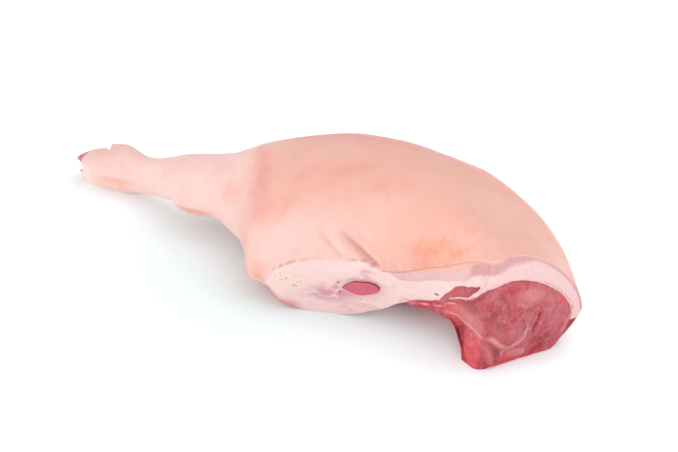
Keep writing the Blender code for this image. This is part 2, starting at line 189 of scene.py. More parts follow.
# Flushed and warm patches of the skin: (station, cm from the skin's edge), radii, turn, strength
ROSE_SPOTS = (((-9.0, 11.4), (2.6, 1.8), 0.3, 0.75), ((-6.4, 9.6), (2.4, 3.0), 0.3, 0.85),
              ((-4.4, 8.2), (1.5, 2.4), 0.1, 0.7), ((-0.2, 14.0), (1.6, 1.6), 0.3, 0.45),
              ((26.0, 9.0), (5.0, 2.4), 0.3, 0.4), ((9.6, 3.1), (2.2, 1.4), -0.6, 0.35))
WARM_SPOTS = (((20.4, 2.6), (3.0, 1.5), -0.2, 0.95), ((23.4, 1.2), (3.0, 1.0), 0.2, 0.9),
              ((19.6, 0.8), (2.4, 0.8), 0.0, 0.7), ((4.7, 13.0), (2.8, 2.0), 0.5, 0.45),
              ((11.4, 11.0), (3.0, 2.0), 0.2, 0.35), ((27.4, 6.0), (3.2, 1.8), 0.3, 0.4),
              ((-1.5, 9.0), (2.2, 2.6), 0.3, 0.35), ((-12.0, 4.0), (2.4, 2.0), 0.0, 0.4))

# Blood-tinged and yellow patches of the flank fat, in (station, height)
BLUSH_SPOTS = (((7.4, 3.0), (3.6, 1.3), 0.12, 0.9), ((11.0, 1.4), (4.0, 1.1), 0.0, 0.5),
               ((11.2, 4.2), (3.4, 1.7), FLANK_TILT, 0.8), ((11.9, 6.5), (1.0, 0.6), 0.0, 0.8))
YELLOW_SPOTS = (((1.9, 3.9), (1.9, 1.2), 0.0, 1.0), ((11.8, 2.5), (2.2, 0.5), 0.0, 0.6))

# Turn along the leg past which the skin over the crown's far side is painted pinker and darker, as
# shade where the skin turns away from the light
BROW_SHADE = ((-43.3, 0.25), (-20, 0.23), (-4, 0.21), (1.2, 0.22), (7, 0.25), (13.7, 0.27),
        (21.2, 0.295), (28.3, 0.335), (33.3, 0.39))

# Marks of the cut face in (across, up): lines with a width and strength, then patches like
# those of the skin
SEAMS = (
    (((-3.5, 6.5), (-3.62, 5.6), (-3.75, 5.0), (-3.95, 4.2), (-4.4, 3.5)), 0.22, 1.0),
    (((-4.2, 7.3), (-5.6, 7.0), (-7.0, 6.0), (-8.6, 5.0)), 0.18, 0.45),
    (((-8.3, 10.2), (-7.7, 8.6), (-7.5, 7.2), (-6.8, 5.9)), 0.24, 0.5),
    (((-2.0, 2.6), (-3.2, 2.7), (-4.3, 2.2)), 0.35, 0.7),
    (((0.1, 7.0), (0.5, 5.4), (0.3, 3.8), (-0.7, 2.1)), 0.12, 0.5),
    (((-5.9, 5.9), (-5.2, 5.2), (-5.1, 4.2), (-5.7, 3.3)), 0.14, 0.45),
    (((-6.8, 5.2), (-6.2, 4.7), (-6.1, 4.0), (-6.5, 3.3)), 0.14, 0.4),
    (((-2.2, 9.2), (-1.4, 7.6), (-1.5, 6.0), (-2.4, 4.4)), 0.2, 0.3),
)
MEMBRANES = (
    (((0.8, 4.8), (0.45, 3.6), (-0.1, 2.7), (-0.8, 2.0)), 0.14, 0.7),
    (((-9.7, 4.45), (-8.7, 3.55), (-7.84, 2.78), (-7.2, 2.3)), 0.22, 0.7),
    (((-8.05, 0.9), (-8.0, 1.6), (-7.5, 2.15), (-6.8, 2.45), (-5.4, 3.35), (-4.96, 4.6),
      (-4.9, 5.6)), 0.17, 0.6),
    (((-9.45, 3.6), (-9.5, 1.8), (-9.2, 0.3)), 0.22, 0.3),
    (((-6.9, 1.5), (-6.3, 1.9), (-5.6, 1.7), (-5.2, 1.2), (-6.0, 0.9)), 0.16, 0.5),
    (((-7.0, 8.4), (-6.0, 8.0), (-5.2, 7.2)), 0.2, 0.3),
)
PALE_PATCHES = (((-4.5, 8.8), (1.9, 1.1), -0.3, 0.8), ((-6.2, 1.3), (1.3, 0.6), 0.0, 0.75),
                ((-1.8, 7.8), (1.2, 0.9), -0.4, 0.55), ((-6.4, 4.2), (0.8, 1.1), 0.2, 0.5))
MAUVE_PATCHES = (((-1.5, 5.4), (1.8, 2.1), 0.1, 0.9), ((-5.2, 5.0), (2.0, 2.2), 0.3, 0.5))
BRIGHT_PATCHES = (((-0.1, 6.6), (1.5, 0.55), -0.95, 0.9), ((0.9, 5.0), (0.4, 1.2), 0.0, 0.8),
                  ((-7.4, 0.9), (1.0, 0.8), 0.0, 0.6), ((-5.0, 0.2), (2.6, 0.35), 0.0, 0.6))
DARK_PATCHES = (((-8.8, 2.1), (0.5, 1.3), 0.15, 0.85), ((-3.0, 2.4), (1.5, 0.8), 0.1, 0.65),
                ((-3.0, 1.0), (2.0, 0.5), 0.25, 0.5), ((-8.8, 7.0), (0.8, 1.6), 0.3, 0.5))


def srgb(red, green, blue):
    """Linear colour from the 0 to 255 values of a screen colour."""
    c = np.array((red, green, blue)) / 255
    return tuple(float(v) for v in np.where(c <= 0.04045, c / 12.92, ((c + 0.055) / 1.055) ** 2.4))


def rail(pairs, s):
    """A smooth line through (station, size) pairs: cubic pieces that never overshoot them."""
    p = np.array(pairs, float)
    x, y = p[:, 0], p[:, 1]
    if len(x) == 2:
        return np.interp(s, x, y)
    step = np.diff(x)
    d = np.diff(y) / step
    m = np.zeros_like(y)
    m[0], m[-1] = d[0], d[-1]
    rising = d[1:] * d[:-1] > 0
    w1, w2 = 2 * step[1:] + step[:-1], step[1:] + 2 * step[:-1]
    a, b = np.where(rising, d[:-1], 1.0), np.where(rising, d[1:], 1.0)
    m[1:-1] = np.where(rising, (w1 + w2) / (w1 / a + w2 / b), 0.0)
    s = np.clip(s, x[0], x[-1])
    i = np.clip(np.searchsorted(x, s) - 1, 0, len(x) - 2)
    n = x[i + 1] - x[i]
    t = (s - x[i]) / n
    return ((1 + 2 * t) * (1 - t) ** 2 * y[i] + t * (1 - t) ** 2 * m[i] * n
            + t * t * (3 - 2 * t) * y[i + 1] + t * t * (t - 1) * m[i + 1] * n)


def ease(t):
    """A soft step: 3t squared less 2t cubed, from 0 to 1."""
    t = np.clip(t, 0.0, 1.0)
    return t * t * (3 - 2 * t)


def hump(v, centre, width):
    """A bell one high at its centre: e to the minus square of the distance in widths."""
    return np.exp(-((v - centre) / width) ** 2)


def lumps(p, cell, seed):
    """Smooth bumps between -1 and 1: hashed values on a lattice of cells, eased between corners."""
    q = p / cell + seed * 17.31
    base = np.floor(q).astype(np.int64)
    f = q - base
    f = f * f * (3 - 2 * f)
    total = np.zeros(p.shape[:-1])
    for corner in np.ndindex(2, 2, 2):
        c = base + corner
        h = (c[..., 0] * 73856093) ^ (c[..., 1] * 19349663) ^ (c[..., 2] * 83492791) ^ (seed * 2654435)
        h = ((h ^ (h >> 13)) * 1274126177) & 0x7FFFFFFF
        weight = np.ones(total.shape)
        for k in range(3):
            weight = weight * (f[..., k] if corner[k] else 1 - f[..., k])
        total += weight * (h % 10007) / 5003.0
    return total - 1.0


def cloud(p, cell, seed, rounds=3):
    """Lumps at halving sizes added together, each half as strong as the last."""
    return sum(lumps(p, cell / 2 ** k, seed + k) / 2 ** k for k in range(rounds))


def most(*values):
    """The strongest of several values at each point."""
    return np.maximum.reduce(np.broadcast_arrays(*values))


def along(u, v, points):
    """Distance of (u, v) from a line through points, and how far along it from 0 to 1."""
    best = np.full(np.shape(u), np.inf)
    place = np.zeros(np.shape(u))
    count = len(points) - 1
    for i in range(count):
        (u0, v0), (u1, v1) = points[i], points[i + 1]
        du, dv = u1 - u0, v1 - v0
        k = np.clip(((u - u0) * du + (v - v0) * dv) / (du * du + dv * dv), 0, 1)
        d2 = (u - u0 - k * du) ** 2 + (v - v0 - k * dv) ** 2
        place = np.where(d2 < best, (i + k) / count, place)
        best = np.minimum(best, d2)
    return np.sqrt(best), place


def stroke(u, v, points, width, taper=0.2):
    """A bell across a line through points, fading out over the taper at both ends."""
    d, place = along(u, v, points)
    return np.exp(-(d / width) ** 2) * ease(place / taper) * ease((1 - place) / taper)


def blob(u, v, centre, radii, turn=0.0):
    """A soft oval patch: a bell of the squared distance in radii, turned by an angle."""
    du, dv = u - centre[0], v - centre[1]
    a = (du * np.cos(turn) + dv * np.sin(turn)) / radii[0]
    b = (dv * np.cos(turn) - du * np.sin(turn)) / radii[1]
    return np.exp(-(a * a + b * b) ** 1.5)


def patches(u, v, rows):
    """The strongest of several soft oval patches at each point."""
    return most(*[k * blob(u, v, centre, radii, turn) for centre, radii, turn, k in rows])


def inside(u, v, points, soft):
    """1 inside a closed outline and 0 outside, eased over a soft border."""
    closed = tuple(points) + (points[0],)
    d, _ = along(u, v, closed)
    crossings = np.zeros(np.shape(u), int)
    for (u0, v0), (u1, v1) in zip(closed[:-1], closed[1:]):
        spans = (v0 > v) != (v1 > v)
        at = u0 + (v - v0) * (u1 - u0) / np.where(v1 == v0, 1.0, v1 - v0)
        crossings += spans & (u < at)
    signed = np.where(crossings % 2 == 1, d, -d)
    return ease(0.5 + signed / soft)


def arc(u, n):
    """A quarter of a superellipse of power n: along and up shares for u from 0 to 1."""
    c, s = np.cos(u * np.pi / 2), np.sin(u * np.pi / 2)
    return np.clip(c, 0, 1) ** (2 / n), np.clip(s, 0, 1) ** (2 / n)


def quarters(t, near, crown, far, under, foot, near_round, far_round, below_round, cut):
    """One closed section from its five named corners, joined by superellipse quarters."""
    def span(k):
        return (t - TURNS[k]) / (TURNS[k + 1] - TURNS[k])

    def rounded(share, power, side, top):
        """A quarter from its side corner at share 0 to its top corner at share 1."""
        a, b = arc(share, power)
        return top[0] + (side[0] - top[0]) * a, side[1] + (top[1] - side[1]) * b

    y0, z0 = rounded(span(0), near_round, near, crown)
    y1, z1 = rounded(1 - span(1), far_round, far, crown)
    y2, z2 = rounded(span(2), below_round, far, under)
    u = np.clip(span(3), 0, 1)
    a, b = arc(1 - u, 2.0)
    y3 = under[0] + (foot[0] - under[0]) * (a * (1 - cut) + u * cut)
    z3 = (foot[1] + (under[1] - foot[1]) * b) * (1 - cut)
    z3 = z3 + (under[1] + (foot[1] - under[1]) * u ** 1.6) * cut
    u = np.clip(span(4), 0, 1)
    y4 = foot[0] + (near[0] - foot[0]) * u
    z4 = foot[1] + (near[1] - foot[1]) * u
    which = np.clip(np.searchsorted(TURNS, t, side="right") - 1, 0, 4)
    return np.choose(which, [y0, y1, y2, y3, y4]), np.choose(which, [z0, z1, z2, z3, z4])


def corner_inset(s):
    """How far the flank side draws in, on a quarter circle, as it meets the cut."""
    u = np.clip((s - BUTT_CUT + CORNER_RADIUS) / CORNER_RADIUS, 0, 1)
    return CORNER_RADIUS * (1 - np.sqrt(1 - 0.98 * u * u))


def opening(s):
    """How far the flank side is cut open at station s: 0 round limb, 1 cut ham."""
    return ease((s + 4) / 5)


def limb_corners(s):
    """Flank edge, crown, tail side, underside and foot of the limb at station s."""
    cut = opening(s)
    near_y, near_z = rail(NEAR_Y, s) + corner_inset(s), rail(NEAR_Z, s)
    foot_y = near_y * (1 - cut) + (rail(FOOT_Y, s) + corner_inset(s)) * cut
    foot_z = (near_z - ROUND_SIDE) * (1 - cut) + rail(FOOT_Z, s) * cut
    return ((near_y, near_z), (rail(CROWN_Y, s), rail(CROWN_Z, s)),
            (rail(FAR_Y, s), rail(FAR_Z, s)), (rail(UNDER_Y, s), rail(UNDER_Z, s)),
            (foot_y, foot_z))


def underside(y, under, foot):
    """Height of the underside of the cut ham at y, rising to its foot by a power of 1.6."""
    u = np.clip((y - under[0]) / (foot[0] - under[0]), 0, 1)
    return under[1] + (foot[1] - under[1]) * u ** 1.6


def limb_section(s, t):
    """Skin, flank side and underside of the limb at station s, turn t."""
    s, t = np.broadcast_arrays(s, t)
    y, z = quarters(t, *limb_corners(s), SKIN_ROUND, rail(FAR_ROUND, s), rail(BELOW_ROUND, s),
                    opening(s))
    # each toe shrinks to a point, and the web between them draws back
    end = np.clip((TOE_ROUND - s) / (TOE_ROUND - TOE_TIP), 0, 1)
    shrink = (1 - end ** 2.6) ** 0.5
    c, k = np.cos(TOE_TILT), np.sin(TOE_TILT)
    dy, dz = y - TOE_MIDDLE[0], z - TOE_MIDDLE[1]
    across, level = dz * c + dy * k, (dy * c - dz * k) * shrink
    toe = np.tanh(across / CLEFT_WIDTH)
    gap = CLEFT_OPEN * np.clip((CLEFT_START - s) / 2.6, 0, 1)
    across = across * (1 - gap / TOE_HALF) + toe * gap * (0.65 + 0.35 * toe)
    spread = toe * TOE_SPREAD * (0.72 + 0.28 * toe)
    across = spread + (across - spread) * shrink ** (0.85 + 0.15 * toe)
    web = np.maximum(1 - shrink, 0.32 * ease((CLEFT_START - s) / 1.6)) * (1 - toe ** 2)
    ahead = (1 - shrink) * (1 + toe) / 2
    x = s + rail(SLANT, s) * y + CLEFT_BACK * web - UPPER_TOE_AHEAD * ahead
    y = TOE_MIDDLE[0] + level * c + across * k
    z = TOE_MIDDLE[1] + across * c - level * k
    return np.stack([x, y, np.maximum(z, 0)], axis=-1)


def lean_section(s, t):
    """The lean meat at station s, turn t: the limb's section drawn in by its cover of fat."""
    s, t = np.broadcast_arrays(s, t)
    skin, crown, far, under, foot = limb_corners(s)
    inward, up = rail(LEAN_NEAR_IN, s), rail(LEAN_UNDER_IN, s)
    top = rail(LEAN_NEAR_Z, s)
    wall = foot[0] + (skin[0] - foot[0]) * (top - foot[1]) / (skin[1] - foot[1])
    limb_foot = foot
    foot = (foot[0] + inward, underside(foot[0] + inward, under, limb_foot) + up)
    crown = (crown[0] + 0.3, crown[1] - rail(LEAN_CROWN_DROP, s))
    far = (far[0] - rail(LEAN_FAR_IN, s), rail(LEAN_FAR_Z, s))
    y, z = quarters(t, (wall + inward, top), crown, far, (under[0], under[1] + up), foot,
                    LEAN_TOP_ROUND, rail(FAR_ROUND, s), rail(BELOW_ROUND, s) + 0.3,
                    np.ones(s.shape))
    below = (t >= TURNS[3]) & (t < TURNS[4])
    z = np.where(below, underside(y, under, limb_foot) + up, z)
    end = np.clip((LEAN_ROUND - s) / (LEAN_ROUND - LEAN_START), 0, 1)
    shrink = (1 - end ** 2.2) ** 0.5
    y = crown[0] + (y - crown[0]) * shrink
    z = 5.4 + (z - 5.4) * shrink
    return np.stack([s + rail(SLANT, s) * y, y, np.maximum(z, 0)], axis=-1)


def cut_point(y, z, rise):
    """A point of the cut plane at (y, z), raised out of the plane."""
    slant = rail(SLANT, BUTT_CUT)
    normal = np.array((1.0, -slant, 0.0)) / np.hypot(1.0, slant)
    flat = np.stack([BUTT_CUT + slant * y, y, z], axis=-1)
    return flat + normal * np.asarray(rise)[..., None]


def cut_relief(y, z):
    """Swelling of the muscles on the cut: the highest of one rounded dome for each muscle."""
    rise = np.zeros(np.shape(y))
    for across, up, half_y, half_z, swell in MUSCLES:
        r2 = ((y - across) / half_y) ** 2 + ((z - up) / half_z) ** 2
        rise = np.maximum(rise, swell * np.clip(1 - r2, 0, 1) ** 0.6)
    return rise


def turn_places(counts):
    """Turns once round a section, with the given count between each pair of corners."""
    spans = [np.linspace(TURNS[k], TURNS[k + 1], n, endpoint=False) for k, n in enumerate(counts)]
    return np.concatenate(spans)


def station_places(*runs):
    """Stations from runs of (first, last, count), then the quarter round into the cut."""
    spans = [np.linspace(first, last, count, endpoint=False) for first, last, count in runs]
    corner = BUTT_CUT - CORNER_RADIUS * (1 - np.sin(np.radians(np.linspace(0, 90, 8))))
    return np.concatenate(spans + [corner])[:, None]


def shares(first, last, count):
    """Shares of the way from the rim of the cut to its middle."""
    return np.linspace(first, last, count)[:, None]


def normals(p):
    """Outward unit normals of a grid of rings: the cross product of its two directions."""
    down = np.gradient(p, axis=0)
    round_ = (np.roll(p, -1, axis=1) - np.roll(p, 1, axis=1)) / 2
    n = np.cross(down, round_)
    return n / np.maximum(np.linalg.norm(n, axis=-1, keepdims=True), 1e-9)


def raised(p, relief):
    """Points moved out along their normals by a relief, and kept on or above the floor."""
    p = p + normals(p) * relief[..., None]
    p[..., 2] = np.maximum(p[..., 2], 0.0)
    return p


def over_cut(tube, s, t, share, rise):
    """Adds rings drawn in over the cut, raised by rise(y, z); gives points, stations, turns."""
    rim = tube[-1]
    y = CUT_CENTRE[0] + (rim[:, 1] - CUT_CENTRE[0]) * share
    z = CUT_CENTRE[1] + (rim[:, 2] - CUT_CENTRE[1]) * share
    p = np.concatenate([tube, cut_point(y, z, rise(y, z))])
    rows = p.shape[:2]
    s = np.concatenate([s, np.full((len(share), 1), BUTT_CUT)]) + np.zeros(rows)
    return p, s, t + np.zeros(rows)


def round_arcs(p):
    """Distance round each ring from turn 0, forwards and backwards."""
    step = np.linalg.norm(np.roll(p, -1, axis=1) - p, axis=-1)
    forwards = np.cumsum(step, axis=1) - step
    return forwards, step.sum(axis=1, keepdims=True) - forwards


def closed_mesh(name, rings, first, last, masks):
    """A closed smooth mesh from rings of points (cm) and a pole at each end, with masks."""
    count, around, _ = rings.shape
    points = (np.concatenate([rings.reshape(-1, 3), first[None], last[None]]) - MIDDLE) * CM
    index = np.arange(count * around).reshape(count, around)
    a, b = index[:-1], np.roll(index, -1, axis=1)[:-1]
    c, d = np.roll(index, -1, axis=1)[1:], index[1:]
    quads = np.stack([a, d, c, b], axis=-1).reshape(-1, 4)
    low, high = count * around, count * around + 1
    start = np.stack([np.full(around, low), index[0], np.roll(index[0], -1)], axis=-1)
    end = np.stack([np.full(around, high), np.roll(index[-1], -1), index[-1]], axis=-1)
    mesh = bpy.data.meshes.new(name)
    loops = np.concatenate([quads.ravel(), start.ravel(), end.ravel()])
    sizes = np.concatenate([np.full(len(quads), 4), np.full(2 * around, 3)])
    mesh.vertices.add(len(points))
    mesh.vertices.foreach_set("co", points.astype(np.float32).ravel())
    mesh.loops.add(len(loops))
    mesh.loops.foreach_set("vertex_index", loops.astype(np.int32))
    mesh.polygons.add(len(sizes))
    mesh.polygons.foreach_set("loop_start", (np.cumsum(sizes) - sizes).astype(np.int32))
    mesh.polygons.foreach_set("use_smooth", np.ones(len(sizes), bool))
    mesh.update(calc_edges=True)
    mesh.validate()
    for key, values in masks.items():
        layer = mesh.attributes.new(key, "FLOAT", "POINT")
        ends = (values[0].mean(), values[-1].mean())
        layer.data.foreach_set("value", np.append(values.ravel(), ends).astype(np.float32))
    piece = bpy.data.objects.new(name, mesh)
    bpy.context.scene.collection.objects.link(piece)
    return piece


def nearest(p, line):
    """Distance of each point from the nearest point of a line of points."""
    return np.sqrt(((p[..., None, :] - line) ** 2).sum(axis=-1).min(axis=-1))


def lean_edge(y, z):
    """Distance of a point of the cut inside the outline of the lean, along a spoke."""
    rim = lean_section(np.array([[BUTT_CUT]]), turn_places((60, 60, 60, 60, 60))[None])[0]
    angle = np.arctan2(rim[:, 2] - CUT_CENTRE[1], rim[:, 1] - CUT_CENTRE[0])
    radius = np.hypot(rim[:, 2] - CUT_CENTRE[1], rim[:, 1] - CUT_CENTRE[0])
    order = np.argsort(angle)
    here = np.arctan2(z - CUT_CENTRE[1], y - CUT_CENTRE[0])
    reach = np.interp(here, angle[order], radius[order], period=2 * np.pi)
    return reach - np.hypot(z - CUT_CENTRE[1], y - CUT_CENTRE[0])


def limb_grid():
    """Rings of the limb closed over the cut, with what is measured on them.

    The rings crowd towards the tips of the toes. up and down are cm round the section from the
    skin's edge, each way, and edge_in is cm over the cut from the edge of the skin.
    """
    t = turn_places((50, 52, 32, 42, 64))[None]
    toes = TOE_TIP + 3.0 * (1 - np.cos(np.radians(np.linspace(6, 86, 26))))[:, None]
    s = np.concatenate([toes, station_places((-40.3, -37.9, 20), (-37.9, -5.0, 66),
                                             (-5.0, BUTT_CUT - CORNER_RADIUS, 234))])
    tube = limb_section(s, t)
    p, s, t = over_cut(tube, s, t, shares(0.985, 0.60, FAT_RINGS), lambda y, z: 0 * y)
    cap = (np.arange(len(p)) >= len(tube))[:, None] & np.ones(t.shape, bool)
    edge_in = nearest(p[len(tube):], tube[-1][t[0] <= TURNS[2]])
    up, down = round_arcs(p)
    return SimpleNamespace(
        p=p, s=s, t=t, y=p[..., 1], z=p[..., 2], up=up, down=down, cap=cap,
        edge_in=np.concatenate([np.full((len(tube), t.shape[1]), 9.0), edge_in]),
        skin=(t < TURNS[1]) & ~cap, side=(t >= TURNS[2]) & (t < TURNS[3]) & ~cap,
        below=(t >= TURNS[3]) & (t < TURNS[4]) & ~cap, wall=(t >= TURNS[4]) & ~cap,
        fine=lumps(p, 0.5, 3), ragged=cloud(p, 1.6, 5), lean_top=rail(LEAN_NEAR_Z, s))


def limb_zones(g):
    """Where the limb shows fat, the bed under the lean, cut rind, bare lean and strands."""
    s, t, y, z, fine, ragged = g.s, g.t, g.y, g.z, g.fine, g.ragged
    # rind gives way to fat, but rolls over its edge by a lip
    above = rail(FAT_ABOVE, s) * (s > FAT_ABOVE[0][0]) * (s < FAT_ABOVE[-1][0])
    edge_up = np.where(g.wall, -g.down, np.where(g.skin, g.up, 9.0)) - above
    lip = g.wall * ease((rail(RIND_LIP, s) + 0.05 * ragged - g.down) / 0.12) * ease((s - 14.8) / 1.0)
    cap_lip = g.cap * ease((CAP_LIP * ease((0.16 - t) / 0.16) + 0.05 * ragged - g.edge_in) / 0.12)
    fat = most(g.wall * ease((s + 1.5 + 0.3 * fine) / 0.8),
               g.below * ease((s - 2.5 + 0.8 * ragged) / 0.8),
               g.side * ease((t - 0.655 + 0.008 * ragged) / 0.01) * ease((s - 3) / 2), g.cap,
               g.skin * (above > 0.02) * ease(0.5 - (edge_up + 0.03 * ragged) / 0.12))
    foot = rail(FOOT_Z, s)
    bed_top = foot - 0.3 + (g.lean_top + 0.12 + 0.3 - foot) * ease((s - 16.0) / 2.5)
    bed = most(g.wall * ease((bed_top + 0.10 * ragged - z) / 0.35) * ease((s - 15.5) / 1.0),
               g.below * ease((s - 12.6) / 0.8),
               g.side * ease((t - 0.672) / 0.02) * ease((s - 13.5) / 1.5),
               g.cap * ease((lean_edge(y, z) - 0.02 + 0.08 * ragged) / 0.35))
    # cut edge of the rind, and the step below it
    depth = rail(RIND_CUT, s) * ease((s - 14.2) / 1.5)
    cap_depth = 0.22 + 1.15 * ease((-3.0 - y) / 5.0) * ease((z - 6) / 3)
    band = most(g.wall * ease((depth + 0.08 * ragged - g.down) / 0.12) * ease((s - 14.2) / 0.8)
                * (1 - lip),
                g.cap * ease((cap_depth + 0.05 * ragged - g.edge_in) / 0.1) * (1 - bed))
    step = (g.wall * hump(g.down, depth + 0.05, 0.10) * ease((s - 15.0) / 2.0)
            + g.cap * hump(g.edge_in, cap_depth + 0.04, 0.08))
    strand = g.wall * most(*[stroke(s, z + 0.08 * fine, line, width, 0.12)
                             for line, width in STRANDS])
    hole = g.wall * most(inside(s + 0.12 * fine, z + 0.10 * ragged, DARK_HOLE, 0.25),
                         0.8 * blob(s, z, (8.1, 3.8), (0.7, 1.0)) * ease((fine - 0.15) / 0.2),
                         0.9 * inside(s, z + 0.1 * ragged, UNDER_HOLE, 0.3)) * (1 - strand)
    # membrane on the lower corner of the cut
    lower = most(np.where(g.cap, ease((3.9 - z + 0.3 * ragged) / 0.8) * (y > -3.0), 0.0),
                 g.side * ease((s - 31.8) / 1.2) * ease((t - 0.56) / 0.04))
    return SimpleNamespace(fat=fat * (1 - lip) * (1 - cap_lip), bed=bed, band=band * (1 - cap_lip),
                           step=step, strand=strand, hole=hole, lower=lower, edge_up=edge_up)


def limb_relief(g, zones, sizes):
    """Height over the limb's rings, and the shares of the skin's folds and of the hock's fold, which
    are also used to paint shade into those folds.

    Folds are sunken bells along lines, each with a raised bell beside it. A dewclaw is a bell
    round the section that begins at a steep face behind a groove.
    """
    s, t, z, up, fine, ragged = g.s, g.t, g.z, g.up, g.fine, g.ragged
    relief = (1 - zones.fat) * (0.10 * lumps(g.p, 6.0, 11) + 0.03 * lumps(g.p, 1.8, 12)
                                + 0.008 * lumps(g.p, 0.6, 13))
    crease = np.zeros(s.shape)
    for line, width, fold in FOLDS:
        d, place = along(s, up, line)
        fade = ease(place / 0.6) * ease((1.12 - place) / 0.12) * g.skin
        relief -= sizes.fold_depth * fold * np.exp(-(d / width) ** 2) * fade
        relief += sizes.fold_depth * fold * 0.45 * hump(d, 2.2 * width, width) * fade
        crease = most(crease, np.exp(-(d / (0.55 * width)) ** 2) * fade * min(1, 3 * fold))
    hock_d, place = along(s, t * HOCK_SPREAD, [(a, b * HOCK_SPREAD) for a, b in HOCK_FOLD])
    hock = np.exp(-(hock_d / 0.6) ** 2) * ease(place / 0.3) * ease((1 - place) / 0.3)
    relief += rail(HEEL, s) * hump(t, 0.785, 0.09) - 0.14 * hock
    for station, turn, rise in DEWCLAWS:
        tip = station - DEWCLAW_SLANT * (t - turn)
        claw = ease((s - tip) / 0.2) * ease((station + 6.6 - s) / 4.4)
        groove = hump(s, tip - 0.15, 0.40) * hump(t, turn, 0.08) * ease((tip + 0.12 - s) / 0.2)
        relief += rise * claw * hump(t, turn, 0.075) - 0.8 * groove
    relief += 0.24 * hump(s, -24.0, 1.6) * hump(t, 0.29, 0.07)
    # rolled lip of the skin's edge, and the step of its cut edge
    relief += 0.10 * hump(up, 0.25, 0.3) * g.skin * ease((s - 12) / 4)
    relief -= sizes.rind_step * (0.7 * zones.band + 0.8 * zones.step)
    # soft pads, lumps and lengthwise streaks of the fat
    streaks = lumps(g.p * np.array((0.28, 1.0, 1.0)), 0.35, 22)
    relief += zones.fat * (0.05 * ragged + sizes.fat_relief * (0.5 * lumps(g.p, 0.9, 21)
                                                               + 0.3 * fine + 0.8 * streaks))
    relief += g.wall * 0.22 * blob(s, z, (4.0, 3.3), (4.2, 2.2))
    relief += g.wall * 0.20 * hump(z, g.lean_top + 0.55, 0.5) * ease((s - 15) / 3) * (1 - zones.band)
    relief += g.wall * 0.28 * blob(s, z, (29.3, 8.7), (1.0, 0.4), 0.3) + 0.10 * zones.strand
    # seat of the flank muscle, holes and the bed under the lean
    seat = blob(s, z, (FLANK_STATION, FLANK_Z),
                (FLANK_HALF_LENGTH + 0.35, FLANK_HALF_HEIGHT + 0.3), FLANK_TILT)
    relief -= g.wall * 0.42 * np.clip(seat * 1.9, 0, 1) + 0.34 * zones.hole + 0.55 * zones.bed
    return relief, crease, hock


def limb_masks(g, zones, crease, hock):
    """Masks of the colours of the rind and fat, with painted shade over the crown's far side, in the
    folds, along the hock's fold and below the rind's step.
    """
    s, t, y, z, up, fine, ragged = g.s, g.t, g.y, g.z, g.up, g.fine, g.ragged
    # painted shade: past that turn the skin over the crown's far side is laid pinker and darker, on top
    # of the flushed patches
    brow_shade = ease((t - rail(BROW_SHADE, s) + 0.015) / 0.075) * ease((0.46 - t) / 0.12) * ease((s + 24) / 12)
    rose_and_brow_shade = most(patches(s + 0.8 * ragged, up + 0.6 * fine, ROSE_SPOTS) * g.skin,
                0.85 * brow_shade * (1 - zones.fat))
    # warm patches; along the hock's fold the same colour is painted shade
    warm = most(patches(s + 0.6 * ragged, up + 0.5 * fine, WARM_SPOTS) * g.skin, 0.75 * hock,
                0.55 * hump(t, 0.86, 0.05) * hump(s, -34.5, 3.0),
                0.6 * hump(s, -2.4, 0.9) * ((t > 0.9) | (t < 0.02)))
    # dark lines along the skin's edge and round the lean on the cut, painted shadow below the rind's
    # step, and painted shade in the bottoms of the folds
    line = hump(zones.edge_up, 0.0, 0.11) * ease((s + 1.4) / 0.6)
    line = most(line * np.where(s < 3.4, 0.95 * ease((fine + 0.5) / 0.4), 0.6), 0.55 * zones.step,
                g.cap * (t < 0.5) * (t > 0.12) * hump(lean_edge(y, z), -0.22, 0.06)
                * ease((y + 4.0) / 1.5) * 0.9, 0.8 * crease)
    blush = g.wall * (1 - zones.band) * most(
        patches(s, z, BLUSH_SPOTS), 0.5 * hump(z, g.lean_top + 0.3, 0.35) * ease((s - 15) / 2))
    return {
        "fat": zones.fat, "bare": most(zones.hole, zones.lower), "rose_and_brow_shade": rose_and_brow_shade, "warm": warm,
        "band": zones.band * np.where(g.cap, 1.0, 0.5 + 0.5 * ease((s - 26.6) / 1.2)),
        "tips": ease((-40.8 - s + 0.15 * fine) / 0.7), "lines_and_crease_shade": line,
        "redline": g.wall * hump(t, TURNS[4], 0.016) * ease((s + 1.6) / 0.8) * ease((4.5 - s) / 2),
        "blush": most(blush, 0.12 * g.cap), "cut_fat": ease((s - 28.5) / 4.0),
        "specks": g.wall * patches(s, z, YELLOW_SPOTS),
        "fair": most(ease((-5.0 - s) / 7.0), 0.75 * blob(s, up, (3.0, 3.4), (9.0, 5.0)) * g.skin)}


def limb_surface(sizes):
    """Rings, end points and masks of the rind and fat: the limb's rings raised by their relief."""
    g = limb_grid()
    zones = limb_zones(g)
    relief, crease, hock = limb_relief(g, zones, sizes)
    web = np.array((TOE_TIP + CLEFT_BACK, *TOE_MIDDLE))
    return (raised(g.p, relief), web, cut_point(*CUT_CENTRE, -0.5),
            limb_masks(g, zones, crease, hock))


